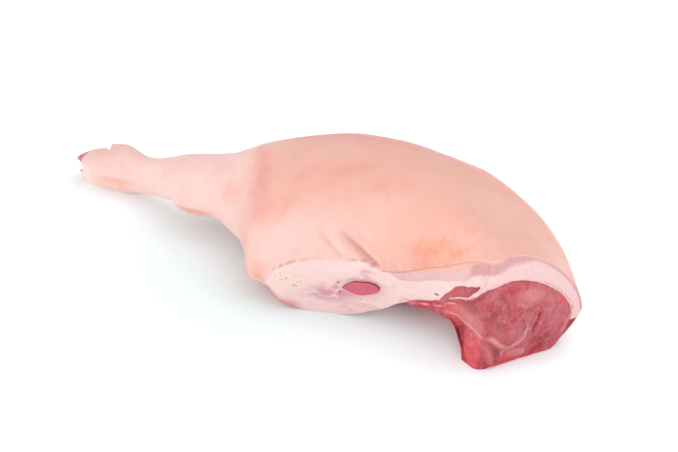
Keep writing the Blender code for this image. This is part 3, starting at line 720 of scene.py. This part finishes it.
def lean_grid(sizes):
    """Rings of the lean closed over the cut, where the muscles' domes raise them."""
    t = turn_places((50, 66, 50, 74, 90))[None]
    s = station_places((LEAN_START + 0.02, 9.0, 16), (9.0, BUTT_CUT - CORNER_RADIUS, 110))
    share = shares(0.985, 0.02, LEAN_RINGS)

    def rise(y, z):
        """A little proud of the rim, with the domes of the muscles inside it."""
        domes = sizes.muscle_swell * cut_relief(y, z) * ease((1 - share) / 0.15)
        return LEAN_PROUD * ease((1 - share) / 0.03) + domes

    p, s, t = over_cut(lean_section(s, t), s, t, share, rise)
    y, z, top = p[..., 1], p[..., 2], rail(LEAN_NEAR_Z, s)
    face = ease((s - 32.6) / 0.5)
    side = (t >= TURNS[4] - 0.02) * (1 - face)
    ragged = cloud(p, 1.4, 31)
    sheath = rail(SHEATH_Z, s) + 0.12 * ragged
    return SimpleNamespace(
        p=p, s=s, t=t, z=z, top=top, face=face, side=side, bulk=(t >= TURNS[3]) & (s > 8),
        ragged=ragged, fine=lumps(p, 0.4, 33), wavy_y=y + 0.25 * lumps(p, 1.5, 41),
        wavy_z=z + 0.25 * lumps(p, 1.5, 42), sheath=sheath,
        lobe=side * ease((sheath - z) / 0.3) * ease((s - 23) / 2))


def lean_relief(g):
    """Height over the lean's rings, and the shares of its seams and of its films.

    Seams are sunken bells along lines and membranes raised ones. The sheath's edge is a ridge,
    with the lobe set back below it, and tatters of fat hang where the lean comes out.
    """
    s, z = g.s, g.z
    seam, film, relief = np.zeros(s.shape), np.zeros(s.shape), np.zeros(s.shape)
    for line, width, strength in SEAMS:
        seam = most(seam, strength * stroke(g.wavy_y, g.wavy_z, line, width) * g.face)
        relief -= 0.16 * strength * stroke(g.wavy_y, g.wavy_z, line, 1.6 * width) * g.face
    for line, width, strength in MEMBRANES:
        mark = strength * stroke(g.wavy_y, g.wavy_z, line, width) * g.face
        film = most(film, mark)
        relief += 0.05 * mark
    ridge = g.side * hump(z, g.sheath, 0.22) * ease((s - 22.5) / 2)
    relief += 0.12 * ridge - 0.45 * g.lobe * ease((31.5 - s) / 4)
    tatter = (g.side * hump(z, g.top - 0.25 + 0.2 * g.ragged, 0.12) * ease((s - 16) / 3)
              * ease((27 - s) / 2))
    relief += 0.06 * tatter - 0.12 * g.side * hump(z, g.top, 0.4)
    film = most(film, 0.8 * ridge, 0.9 * tatter * ease((g.fine + 0.5) / 0.6),
                0.28 * g.side * hump(z, g.sheath + 0.9, 0.9) * ease((s - 23.5) / 3))
    # lumps of the muscle bundles
    bundles = lumps(g.p * np.array((0.4, 1, 1)), 0.5, 35)
    relief += g.bulk * (0.07 * g.ragged + 0.02 * g.fine + 0.04 * bundles)
    relief += g.side * g.lobe * 0.14 * lumps(g.p, 1.3, 36)
    return relief, seam, film


def lean_masks(g, seam, film):
    """Masks of the colours of the lean, with painted shade on the lobe's set-back side and just below
    the fat's edge.
    """
    s, z, side, face, ragged = g.s, g.z, g.side, g.face, g.ragged
    return {
        # dark seams and patches; just below the fat's edge and on the lobe's set-back side the darkness
        # is painted shade
        "dark": most(seam, patches(g.wavy_y, g.wavy_z, DARK_PATCHES) * face,
                     side * 0.6 * hump(z, g.top - 0.2, 0.5) * ease((s - 24) / 3),
                     side * 0.9 * blob(s + 0.5 * ragged, z, (26.8, 2.3), (1.7, 1.9)),
                     side * 0.6 * blob(s, z, (29.6, 6.9), (2.4, 0.7), 0.3),
                     0.6 * ease((ragged - 0.3) / 0.6) * g.lobe),
        "pale": most(patches(g.wavy_y, g.wavy_z, PALE_PATCHES) * face,
                     side * 0.45 * blob(s, z, (28.5, 5.9), (3.6, 1.2), 0.15)),
        "bright": most(patches(g.wavy_y, g.wavy_z, BRIGHT_PATCHES) * face, 0.9 * g.lobe,
                       side * 0.8 * blob(s, z, (25.5, 5.2), (3.4, 1.0), 0.25)),
        "mauve": patches(g.wavy_y, g.wavy_z, MAUVE_PATCHES) * face,
        "deep": g.bulk * ease((2.6 + 0.6 * ragged - z) / 2.2), "film": film}


def lean_surface(sizes):
    """Rings, end points and masks of the lean meat: the lean's rings raised by their relief."""
    g = lean_grid(sizes)
    relief, seam, film = lean_relief(g)
    height = LEAN_PROUD + sizes.muscle_swell * cut_relief(*np.array(CUT_CENTRE)[:, None])[0]
    return (raised(g.p, relief), g.p[0].mean(axis=0), cut_point(*CUT_CENTRE, height),
            lean_masks(g, seam, film))


def flank_point(r, turn, depth):
    """A point of the flank muscle: an oval on the flank side at share r, moved in by depth."""
    u = FLANK_HALF_LENGTH * r * np.cos(turn)
    v = FLANK_HALF_HEIGHT * r * np.sin(turn) * (1 - 0.45 * r * np.clip(-np.cos(turn), 0, 1) ** 2)
    v = v * (1 + 0.05 * np.sin(3 * turn + 1) + 0.03 * np.sin(7 * turn))
    s = FLANK_STATION + u * np.cos(FLANK_TILT) - v * np.sin(FLANK_TILT)
    z = FLANK_Z + u * np.sin(FLANK_TILT) + v * np.cos(FLANK_TILT)
    low, high = rail(FOOT_Z, s), rail(NEAR_Z, s)
    share = np.clip((z - low) / (high - low), 0, 1)
    wall = limb_section(s, TURNS[4] + (0.9999 - TURNS[4]) * share)
    slope = (rail(NEAR_Y, FLANK_STATION + 1.0) - rail(NEAR_Y, FLANK_STATION - 1.0)) / 2.0
    inward = np.array((-slope, 1.0, 0.0)) / np.hypot(1.0, slope)
    return wall + inward * np.asarray(depth)[..., None]


def flank_surface():
    """Rings and masks of the flank muscle: a tapering oval strip with a shallow domed front."""
    turn = np.linspace(0, 2 * np.pi, 120, endpoint=False)[None]
    back = np.array(((0.30, FLANK_DEPTH), (0.6, FLANK_DEPTH - 0.4), (0.85, 2.4), (0.95, 1.4),
                     (1.0, 0.7)))
    front = np.linspace(1.0, 0.03, 26)
    r = np.concatenate([back[:, 0], front])[:, None]
    dome = 0.24 - 0.13 * np.sqrt(np.clip(1 - front ** 4, 0, 1))
    depth = np.concatenate([back[:, 1], dome])[:, None] + 0 * turn
    p = flank_point(r, turn, depth)
    grain = lumps(p * np.array((0.25, 1.0, 1.0)), 0.22, 51)
    p = flank_point(r, turn, depth + (r < 1) * 0.02 * grain + 0.02 * lumps(p, 0.9, 52))
    masks = {"edge": ease((r - 0.86) / 0.14) * (np.sin(turn) > -0.2) + 0 * turn,
             "streak": 0.5 + 0.5 * grain}
    first = p[0].mean(axis=0)
    return p, first, p[-1].mean(axis=0), masks


class Nodes:
    """A node tree, with short ways to add nodes to it and to join them."""

    def __init__(self, tree):
        self.tree = tree

    def join(self, value, socket):
        """Joins an output of another node to a socket, or sets a plain value on the socket."""
        if isinstance(value, bpy.types.NodeSocket):
            self.tree.links.new(value, socket)
        else:
            socket.default_value = (*value, 1.0) if socket.type == "RGBA" else value

    def feed(self, node, **inputs):
        """Joins or sets a node's inputs by their names, with underscores for spaces."""
        for key, value in inputs.items():
            self.join(value, node.inputs[key.replace("_", " ")])

    def add(self, kind, **inputs):
        """A new shader node of a kind, with its inputs."""
        node = self.tree.nodes.new("ShaderNode" + kind)
        self.feed(node, **inputs)
        return node

    def ramp(self, value, low, high, least=0.0, greatest=1.0):
        """A value eased from least at low to greatest at high."""
        node = self.add("MapRange", Value=value, From_Min=low, From_Max=high, To_Min=least,
                        To_Max=greatest)
        node.interpolation_type = "SMOOTHSTEP"
        return node.outputs["Result"]

    def math(self, operation, *values):
        """Values or numbers combined by an operation."""
        node = self.add("Math")
        node.operation = operation
        for socket, value in zip(node.inputs, values):
            self.join(value, socket)
        return node.outputs[0]


class Layers(Nodes):
    """A Principled material put together from layers of colour over the piece's masks."""

    def __init__(self, name, **values):
        self.material = bpy.data.materials.new(name)
        self.material.use_nodes = True
        super().__init__(self.material.node_tree)
        self.shader = self.tree.nodes["Principled BSDF"]
        self.feed(self.shader, **values)
        self.place = self.add("TexCoord").outputs["Object"]

    def mask(self, name):
        """A mask stored on the piece."""
        node = self.add("Attribute")
        node.attribute_name = name
        return node.outputs["Fac"]

    def noise(self, size, detail=2.0, distortion=0.0, stretch=(1, 1, 1)):
        """Noise with bumps of the given size in metres, stretched along the axes."""
        place = self.add("Mapping", Vector=self.place, Scale=stretch).outputs["Vector"]
        return self.add("TexNoise", Vector=place, Scale=1 / size, Detail=detail,
                        Distortion=distortion).outputs["Fac"]

    def cells(self, size):
        """Distance from the nearest of scattered points, for pores and specks."""
        return self.add("TexVoronoi", Vector=self.place, Scale=1 / size).outputs["Distance"]

    def over(self, base, colour, share):
        """A colour laid over the base by a share, which is a value of the surface."""
        node = self.add("Mix")
        node.data_type = "RGBA"
        sockets = {socket.name: socket for socket in node.inputs if socket.enabled}
        for key, value in (("A", base), ("B", colour), ("Factor", share)):
            self.join(value, sockets[key])
        return next(o for o in node.outputs if o.enabled)

    def lay(self, base, colour, mask, share, ends=None, low=0.3, high=0.6):
        """A colour laid over the base by a mask times a share.

        The share is a number, or a value of the surface with the two ends of its soft step.
        """
        if ends is not None:
            share = self.ramp(share, low, high, *ends)
        return self.over(base, colour, self.math("MULTIPLY", self.mask(mask), share))

    def bump(self, height, distance, before=None):
        """A normal bent by a height, in metres, over one bent before it."""
        node = self.add("Bump", Height=height, Distance=distance)
        if before is not None:
            self.feed(node, Normal=before)
        return node.outputs["Normal"]

    def finish(self, colour, roughness, normal):
        """Joins the last colour, roughness and normal to the shader."""
        self.feed(self.shader, Base_Color=colour, Roughness=roughness, Normal=normal)
        return self.material


def rind_material(tints):
    """Pale pig skin with flushed and warm patches and pores, running into moist fat, with painted shade
    over the crown's far side, in the folds, along the hock's fold and below the rind's step.
    """
    m = Layers("rind", Subsurface_Weight=0.18, Subsurface_Scale=0.006,
               Subsurface_Radius=(1.0, 0.36, 0.24), Specular_IOR_Level=0.42)
    broad, medium = m.noise(0.085, 3.0, 0.4), m.noise(0.022, 4.0, 0.3)
    mottle, grain = m.noise(0.0055, 3.0), m.noise(0.0016, 2.0)
    skin = m.over(tints.skin, tints.skin_pale, m.ramp(broad, 0.42, 0.68))
    skin = m.lay(skin, tints.skin_fair, "fair", broad, (0.7, 1.0))
    skin = m.over(skin, tints.rose_and_brow_shade, m.ramp(medium, 0.50, 0.80, 0.0, 0.30))
    # warm patches, and painted shade along the hock's fold
    skin = m.lay(skin, tints.warm, "warm", medium, (0.45, 0.85))
    # flushed patches, and painted shade in the same colour over the crown's far side
    skin = m.lay(skin, tints.rose_and_brow_shade, "rose_and_brow_shade", medium, (0.6, 1.0), 0.25, 0.65)
    skin = m.over(skin, tints.rose_and_brow_shade, m.ramp(mottle, 0.45, 0.75, 0.0, 0.07))
    # fat, with rosy streaks along the leg and small dark follicles
    streaks = m.noise(0.006, 5.0, 0.5, (0.30, 1.0, 1.0))
    fat = m.over(tints.fat, tints.fat_rosy, m.ramp(streaks, 0.46, 0.70, 0.0, 0.28))
    fat = m.over(fat, tints.fat_rosy, m.ramp(m.noise(0.0035, 3.0), 0.5, 0.75, 0.0, 0.15))
    fat = m.lay(fat, tints.fat_rosy, "cut_fat", 0.75)
    fat = m.lay(fat, tints.blush, "blush", streaks, (0.25, 1.0), 0.36, 0.58)
    fat = m.lay(fat, tints.fat_yellow, "specks", 0.5)
    fat = m.lay(fat, tints.speck, "specks", m.cells(0.0055), (0.8, 0.0), 0.14, 0.30)
    edge = m.math("ADD", m.mask("fat"), m.ramp(m.noise(0.004, 3.0), 0.3, 0.7, -0.25, 0.25))
    share = m.ramp(edge, 0.40, 0.60)
    colour = m.over(skin, fat, share)
    # cut rind, bare lean, dark lines with painted shade in the folds and below the rind's step, and toe
    # tips
    band = m.over(tints.band, tints.band_dark, m.ramp(streaks, 0.42, 0.66, 0.0, 0.35))
    colour = m.lay(colour, band, "band", 0.88)
    meat = m.over(tints.bare, tints.bare_dark, m.ramp(m.noise(0.006, 4.0, 0.5), 0.42, 0.62))
    colour = m.over(colour, meat, m.ramp(m.mask("bare"), 0.35, 0.65))
    colour = m.lay(colour, tints.redline, "redline", 0.8)
    colour = m.lay(colour, tints.lines_and_crease_shade, "lines_and_crease_shade", 0.65)
    colour = m.lay(colour, tints.tips, "tips", medium, (0.7, 1.0))
    rough = m.math("ADD", m.ramp(share, 0.0, 1.0, 0.50, 0.36), m.ramp(mottle, 0.3, 0.7, -0.06, 0.06))
    rough = m.math("SUBTRACT", rough, m.math("MULTIPLY", m.mask("bare"), 0.08))
    normal = m.bump(m.ramp(m.cells(0.0021), 0.05, 0.45), 0.00012)
    return m.finish(colour, rough, m.bump(mottle, 0.0005, m.bump(grain, 0.00022, normal)))


def lean_material(tints):
    """Moist lean pork: fibre grain, darker seams, pale membranes and thin marbling, with painted shade
    on the set-back lobe and just below the fat's edge.
    """
    m = Layers("lean", Specular_IOR_Level=0.28, **MEAT_DEPTH)
    broad, medium = m.noise(0.020, 3.0, 0.5), m.noise(0.007, 4.0, 0.4)
    fibre = m.noise(0.0022, 3.0, 0.3, (0.3, 1.0, 1.0))
    colour = m.over(tints.lean, tints.lean_mauve, m.ramp(broad, 0.40, 0.66, 0.0, 0.8))
    colour = m.over(colour, tints.lean_deep, m.mask("deep"))
    colour = m.lay(colour, tints.lean_mauve, "mauve", 0.9)
    colour = m.lay(colour, tints.lean_pale, "pale", medium, (0.4, 0.9))
    colour = m.lay(colour, tints.lean_bright, "bright", medium, (0.6, 1.0), 0.25)
    # dark seams and patches, with painted shade on the set-back lobe and below the fat's edge
    colour = m.lay(colour, tints.lean_dark, "dark", medium, (0.75, 1.0), 0.25)
    colour = m.over(colour, tints.lean_dark, m.ramp(medium, 0.52, 0.75, 0.0, 0.4))
    colour = m.over(colour, tints.lean_pale, m.ramp(medium, 0.30, 0.46, 0.3, 0.0))
    colour = m.over(colour, tints.lean_pale, m.ramp(fibre, 0.52, 0.78, 0.0, 0.12))
    marbling = m.math("ABSOLUTE", m.math("SUBTRACT", m.noise(0.018, 2.5, 0.8), 0.5))
    colour = m.over(colour, tints.film, m.ramp(marbling, 0.0, 0.02, 0.22, 0.0))
    colour = m.lay(colour, tints.film, "film", medium, (0.5, 1.0), 0.3, 0.55)
    rough = m.ramp(medium, 0.3, 0.7, 0.38, 0.52)
    return m.finish(colour, rough, m.bump(medium, 0.0007, m.bump(fibre, 0.00025)))


def flank_material(tints):
    """Smooth moist muscle with faint lengthwise fibres and a dark upper edge."""
    m = Layers("flank", Specular_IOR_Level=0.5, Coat_Weight=0.2, Coat_Roughness=0.25,
               **MEAT_DEPTH)
    fibre = m.noise(0.0016, 3.0, 0.3, (0.22, 1.0, 1.0))
    colour = m.over(tints.flank, tints.flank_pale, m.ramp(fibre, 0.42, 0.72, 0.0, 0.6))
    colour = m.lay(colour, tints.flank_pale, "streak", 0.3)
    colour = m.lay(colour, tints.lean_dark, "edge", 0.75)
    return m.finish(colour, m.ramp(fibre, 0.3, 0.7, 0.30, 0.42), m.bump(fibre, 0.0004))


def tint(name, description, red, green, blue):
    """A colour property with its default from a screen colour."""
    return FloatVectorProperty(name=name, description=description, subtype="COLOR", size=3,
                               min=0.0, max=1.0, default=srgb(red, green, blue))


def amount(name, description, default, high=100.0, unit="NONE"):
    """A number from 0 up to a highest value."""
    return FloatProperty(name=name, description=description, default=default, min=0.0, max=high,
                         unit=unit)


class LegSizes(bpy.types.PropertyGroup):
    """Reliefs of the pieces."""
    fold_depth: amount("Fold depth", "Depth of the skin's folds by the flank, as a share", 1.0, 2.0)
    rind_step: amount("Rind step", "How far the rind's cut edge is set back, in cm", 0.12, 0.4)
    fat_relief: amount("Fat relief", "Height of the lumps and streaks of the fat, in cm", 0.06, 0.3)
    muscle_swell: amount("Muscle swell", "How far the muscles swell from the cut, as a share", 1.0, 1.5)


class LegTints(bpy.types.PropertyGroup):
    """Colours of the pieces."""
    skin: tint("Skin", "Main colour of the skin", 241, 184, 168)
    skin_pale: tint("Pale skin", "Paler areas of the skin", 243, 193, 179)
    skin_fair: tint("Fair skin", "Fairest skin, on the shank and by the flank", 246, 207, 199)
    # this colour also lays the painted shade over the crown's far side
    rose_and_brow_shade: tint("Rose skin", "Flushed areas of the skin", 238, 160, 152)
    # this colour also lays the painted shade along the hock's fold
    warm: tint("Warm skin", "Warm patches of the skin", 234, 148, 116)
    tips: tint("Toe tips", "Tips of the toes", 205, 84, 120)
    # painted shade in the folds and below the rind's step, and dark lines along the skin's edge and
    # round the lean
    lines_and_crease_shade: tint("Fold shade", "Bottoms of folds and cracks", 170, 96, 92)
    fat: tint("Fat", "Main colour of the fat", 245, 213, 208)
    fat_rosy: tint("Rosy fat", "Streaks in the fat", 238, 194, 193)
    fat_yellow: tint("Yellow fat", "Faintly yellow fat at the end of the flank", 240, 214, 194)
    blush: tint("Blush", "Blood-tinged fat by the flank muscle", 212, 146, 164)
    speck: tint("Follicles", "Small dark dots in the fat", 138, 104, 112)
    band: tint("Cut rind", "Cut edge of the rind", 212, 154, 152)
    band_dark: tint("Dark cut rind", "Darker parts of the cut edge", 194, 136, 136)
    redline: tint("Red line", "Line below the flank fat", 216, 110, 120)
    bare: tint("Bare meat", "Lean showing through the fat", 172, 40, 56)
    bare_dark: tint("Dark bare meat", "Darker lean showing through the fat", 142, 34, 50)
    lean: tint("Lean", "Main colour of the lean", 190, 74, 82)
    lean_mauve: tint("Mauve lean", "Duller areas of the cut", 190, 98, 107)
    lean_deep: tint("Deep lean", "Deep red at the bottom of the cut", 188, 56, 72)
    # this colour also lays the painted shade on the set-back lobe and below the fat's edge
    lean_dark: tint("Dark lean", "Seams and dark muscle", 138, 34, 50)
    lean_bright: tint("Bright lean", "Brightest red muscle", 222, 84, 92)
    lean_pale: tint("Pale lean", "Paler muscle", 220, 140, 142)
    film: tint("Film", "Membranes and strands of fat", 232, 170, 168)
    flank: tint("Flank muscle", "The muscle in the flank fat", 204, 84, 104)
    flank_pale: tint("Pale flank muscle", "Its paler fibres", 218, 112, 128)


class StudioSettings(bpy.types.PropertyGroup):
    """Camera, lights and floor."""
    azimuth: amount("Azimuth", "Camera's turn from the flank side, in degrees", 37.0, 360.0)
    elevation: amount("Elevation", "Camera's height above the floor, in degrees", 30.0, 90.0)
    distance: amount("Distance", "Camera's distance from the leg", 2.1, unit="LENGTH")
    lens: amount("Lens", "Focal length in millimetres", 86.3, 500.0)
    daylight: amount("Surrounding light", "Strength of the even light all round", 0.73)
    horizon: amount("Horizon", "Share of the surrounding light at the horizon", 0.2, 1.0)
    key_power: amount("Key light", "Power of the soft light overhead, in watts", 16.0)
    left_power: amount("Left light", "Power of the soft light from the left, in watts", 21.0)
    right_power: amount("Right light", "Power of the soft light from the right, in watts", 13.0)
    floor: tint("Floor", "Colour of the floor", 241, 252, 254)


def settings():
    """The sizes, colours and studio settings kept on the scene."""
    scene = bpy.context.scene
    return scene.pork_leg_sizes, scene.pork_leg_tints, scene.pork_leg_studio


def add_piece(name, surface, material, node):
    """Makes a piece with its material, rides it on the root and puts it in place of a node."""
    piece = closed_mesh(name, *surface)
    piece.data.materials.append(material)
    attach(piece, "root")
    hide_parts(node)
    return {"FINISHED"}


class MESH_OT_leg_rind(bpy.types.Operator):
    """Make the rind with its fat"""
    bl_idname = "mesh.leg_rind"
    bl_label = "Rind and fat"

    def execute(self, context):
        sizes, tints, _ = settings()
        return add_piece("rind", limb_surface(sizes), rind_material(tints), "rind_and_fat")


class MESH_OT_leg_lean(bpy.types.Operator):
    """Make the lean meat"""
    bl_idname = "mesh.leg_lean"
    bl_label = "Lean meat"

    def execute(self, context):
        sizes, tints, _ = settings()
        return add_piece("lean", lean_surface(sizes), lean_material(tints), "lean_meat")


class MESH_OT_leg_flank(bpy.types.Operator):
    """Make the muscle in the flank fat"""
    bl_idname = "mesh.leg_flank"
    bl_label = "Flank muscle"

    def execute(self, context):
        _, tints, _ = settings()
        return add_piece("flank", flank_surface(), flank_material(tints), "flank_muscle")


def area_light(name, power, size, place):
    """A square soft light at a place, facing the leg."""
    light = bpy.data.lights.new(name, "AREA")
    light.energy = power
    light.size = size
    lamp = bpy.data.objects.new(name, light)
    bpy.context.scene.collection.objects.link(lamp)
    lamp.location = place
    lamp.rotation_euler = (Vector(AIM) - Vector(place)).to_track_quat("-Z", "Y").to_euler()


def sky(strength, horizon):
    """White light from all round, eased off towards the horizon, and seen as plain white."""
    world = bpy.data.worlds.new("studio")
    world.use_nodes = True
    m = Nodes(world.node_tree)
    place = m.add("TexCoord").outputs["Generated"]
    height = m.add("SeparateXYZ", Vector=place).outputs["Z"]
    light = m.ramp(height, 0.0, 0.6, strength * horizon, strength)
    seen = m.add("LightPath").outputs["Is Camera Ray"]
    m.feed(m.tree.nodes["Background"], Color=(1, 1, 1), Strength=m.math("MAXIMUM", light, seen))
    return world


def paper(colour):
    """Matt paper that glows more with its distance from the leg, so that it ends in white."""
    m = Layers("paper", Base_Color=colour, Roughness=0.9, Specular_IOR_Level=0.1,
               Emission_Color=(1, 1, 1))
    reach = m.add("VectorMath", Vector=m.place)
    reach.operation = "LENGTH"
    m.feed(m.shader, Emission_Strength=m.ramp(reach.outputs["Value"], -0.03, 1.3))
    return m.material


class SCENE_OT_leg_stage(bpy.types.Operator):
    """Make the floor, the lights and the camera"""
    bl_idname = "scene.leg_stage"
    bl_label = "Stage"

    def execute(self, context):
        _, _, studio = settings()
        scene = context.scene
        scene.view_settings.view_transform = "Standard"
        scene.world = sky(studio.daylight, studio.horizon)
        mesh = bpy.data.meshes.new("floor")
        corners = ((-1, -1), (1, -1), (1, 1), (-1, 1))
        mesh.from_pydata([(FLOOR_REACH * x, FLOOR_REACH * y, 0) for x, y in corners], [],
                         [(0, 1, 2, 3)])
        floor = bpy.data.objects.new("floor", mesh)
        scene.collection.objects.link(floor)
        mesh.materials.append(paper(studio.floor))
        middle = -MIDDLE * CM + np.array(AIM)
        area_light("key", studio.key_power, 1.8, (0.6, 0.8, 2.1))
        area_light("fill_left", studio.left_power, 1.2, (-1.7, -2.2, 0.65))
        area_light("fill_right", studio.right_power, 1.2, (1.9, -1.9, 0.65))
        a, e = np.radians(studio.azimuth), np.radians(studio.elevation)
        back = Vector((np.sin(a) * np.cos(e), -np.cos(a) * np.cos(e), np.sin(e)))
        right = Vector((np.cos(a), np.sin(a), 0.0))
        place = Vector(middle) + back * studio.distance
        camera = bpy.data.objects.new("camera", bpy.data.cameras.new("camera"))
        camera.data.lens = studio.lens
        camera.data.sensor_width = 36.0
        turn = Matrix((right, back.cross(right), back)).transposed().to_4x4()
        camera.matrix_world = Matrix.Translation(place) @ turn
        scene.collection.objects.link(camera)
        scene.camera = camera
        return {"FINISHED"}


class VIEW3D_PT_pork_leg(bpy.types.Panel):
    bl_label = "Pork leg"
    bl_idname = "VIEW3D_PT_pork_leg"
    bl_space_type = "VIEW_3D"
    bl_region_type = "UI"
    bl_category = "Pork leg"

    def draw(self, context):
        for group in settings():
            box = self.layout.box()
            for key in group.__annotations__:
                box.prop(group, key)
        for operator in (MESH_OT_leg_rind, MESH_OT_leg_lean, MESH_OT_leg_flank, SCENE_OT_leg_stage):
            self.layout.operator(operator.bl_idname)


CLASSES = (LegSizes, LegTints, StudioSettings, MESH_OT_leg_rind, MESH_OT_leg_lean,
           MESH_OT_leg_flank, SCENE_OT_leg_stage, VIEW3D_PT_pork_leg)


def register():
    """Registers the classes and the settings kept on the scene."""
    for cls in CLASSES:
        bpy.utils.register_class(cls)
    bpy.types.Scene.pork_leg_sizes = PointerProperty(type=LegSizes)
    bpy.types.Scene.pork_leg_tints = PointerProperty(type=LegTints)
    bpy.types.Scene.pork_leg_studio = PointerProperty(type=StudioSettings)


def unregister():
    """Takes the settings and the classes away again."""
    for name in ("pork_leg_sizes", "pork_leg_tints", "pork_leg_studio"):
        delattr(bpy.types.Scene, name)
    for cls in reversed(CLASSES):
        bpy.utils.unregister_class(cls)


def main():
    """Makes every piece and the stage."""
    register()
    bpy.ops.mesh.leg_rind()
    bpy.ops.mesh.leg_lean()
    bpy.ops.mesh.leg_flank()
    bpy.ops.scene.leg_stage()


if __name__ == "__main__":
    main()
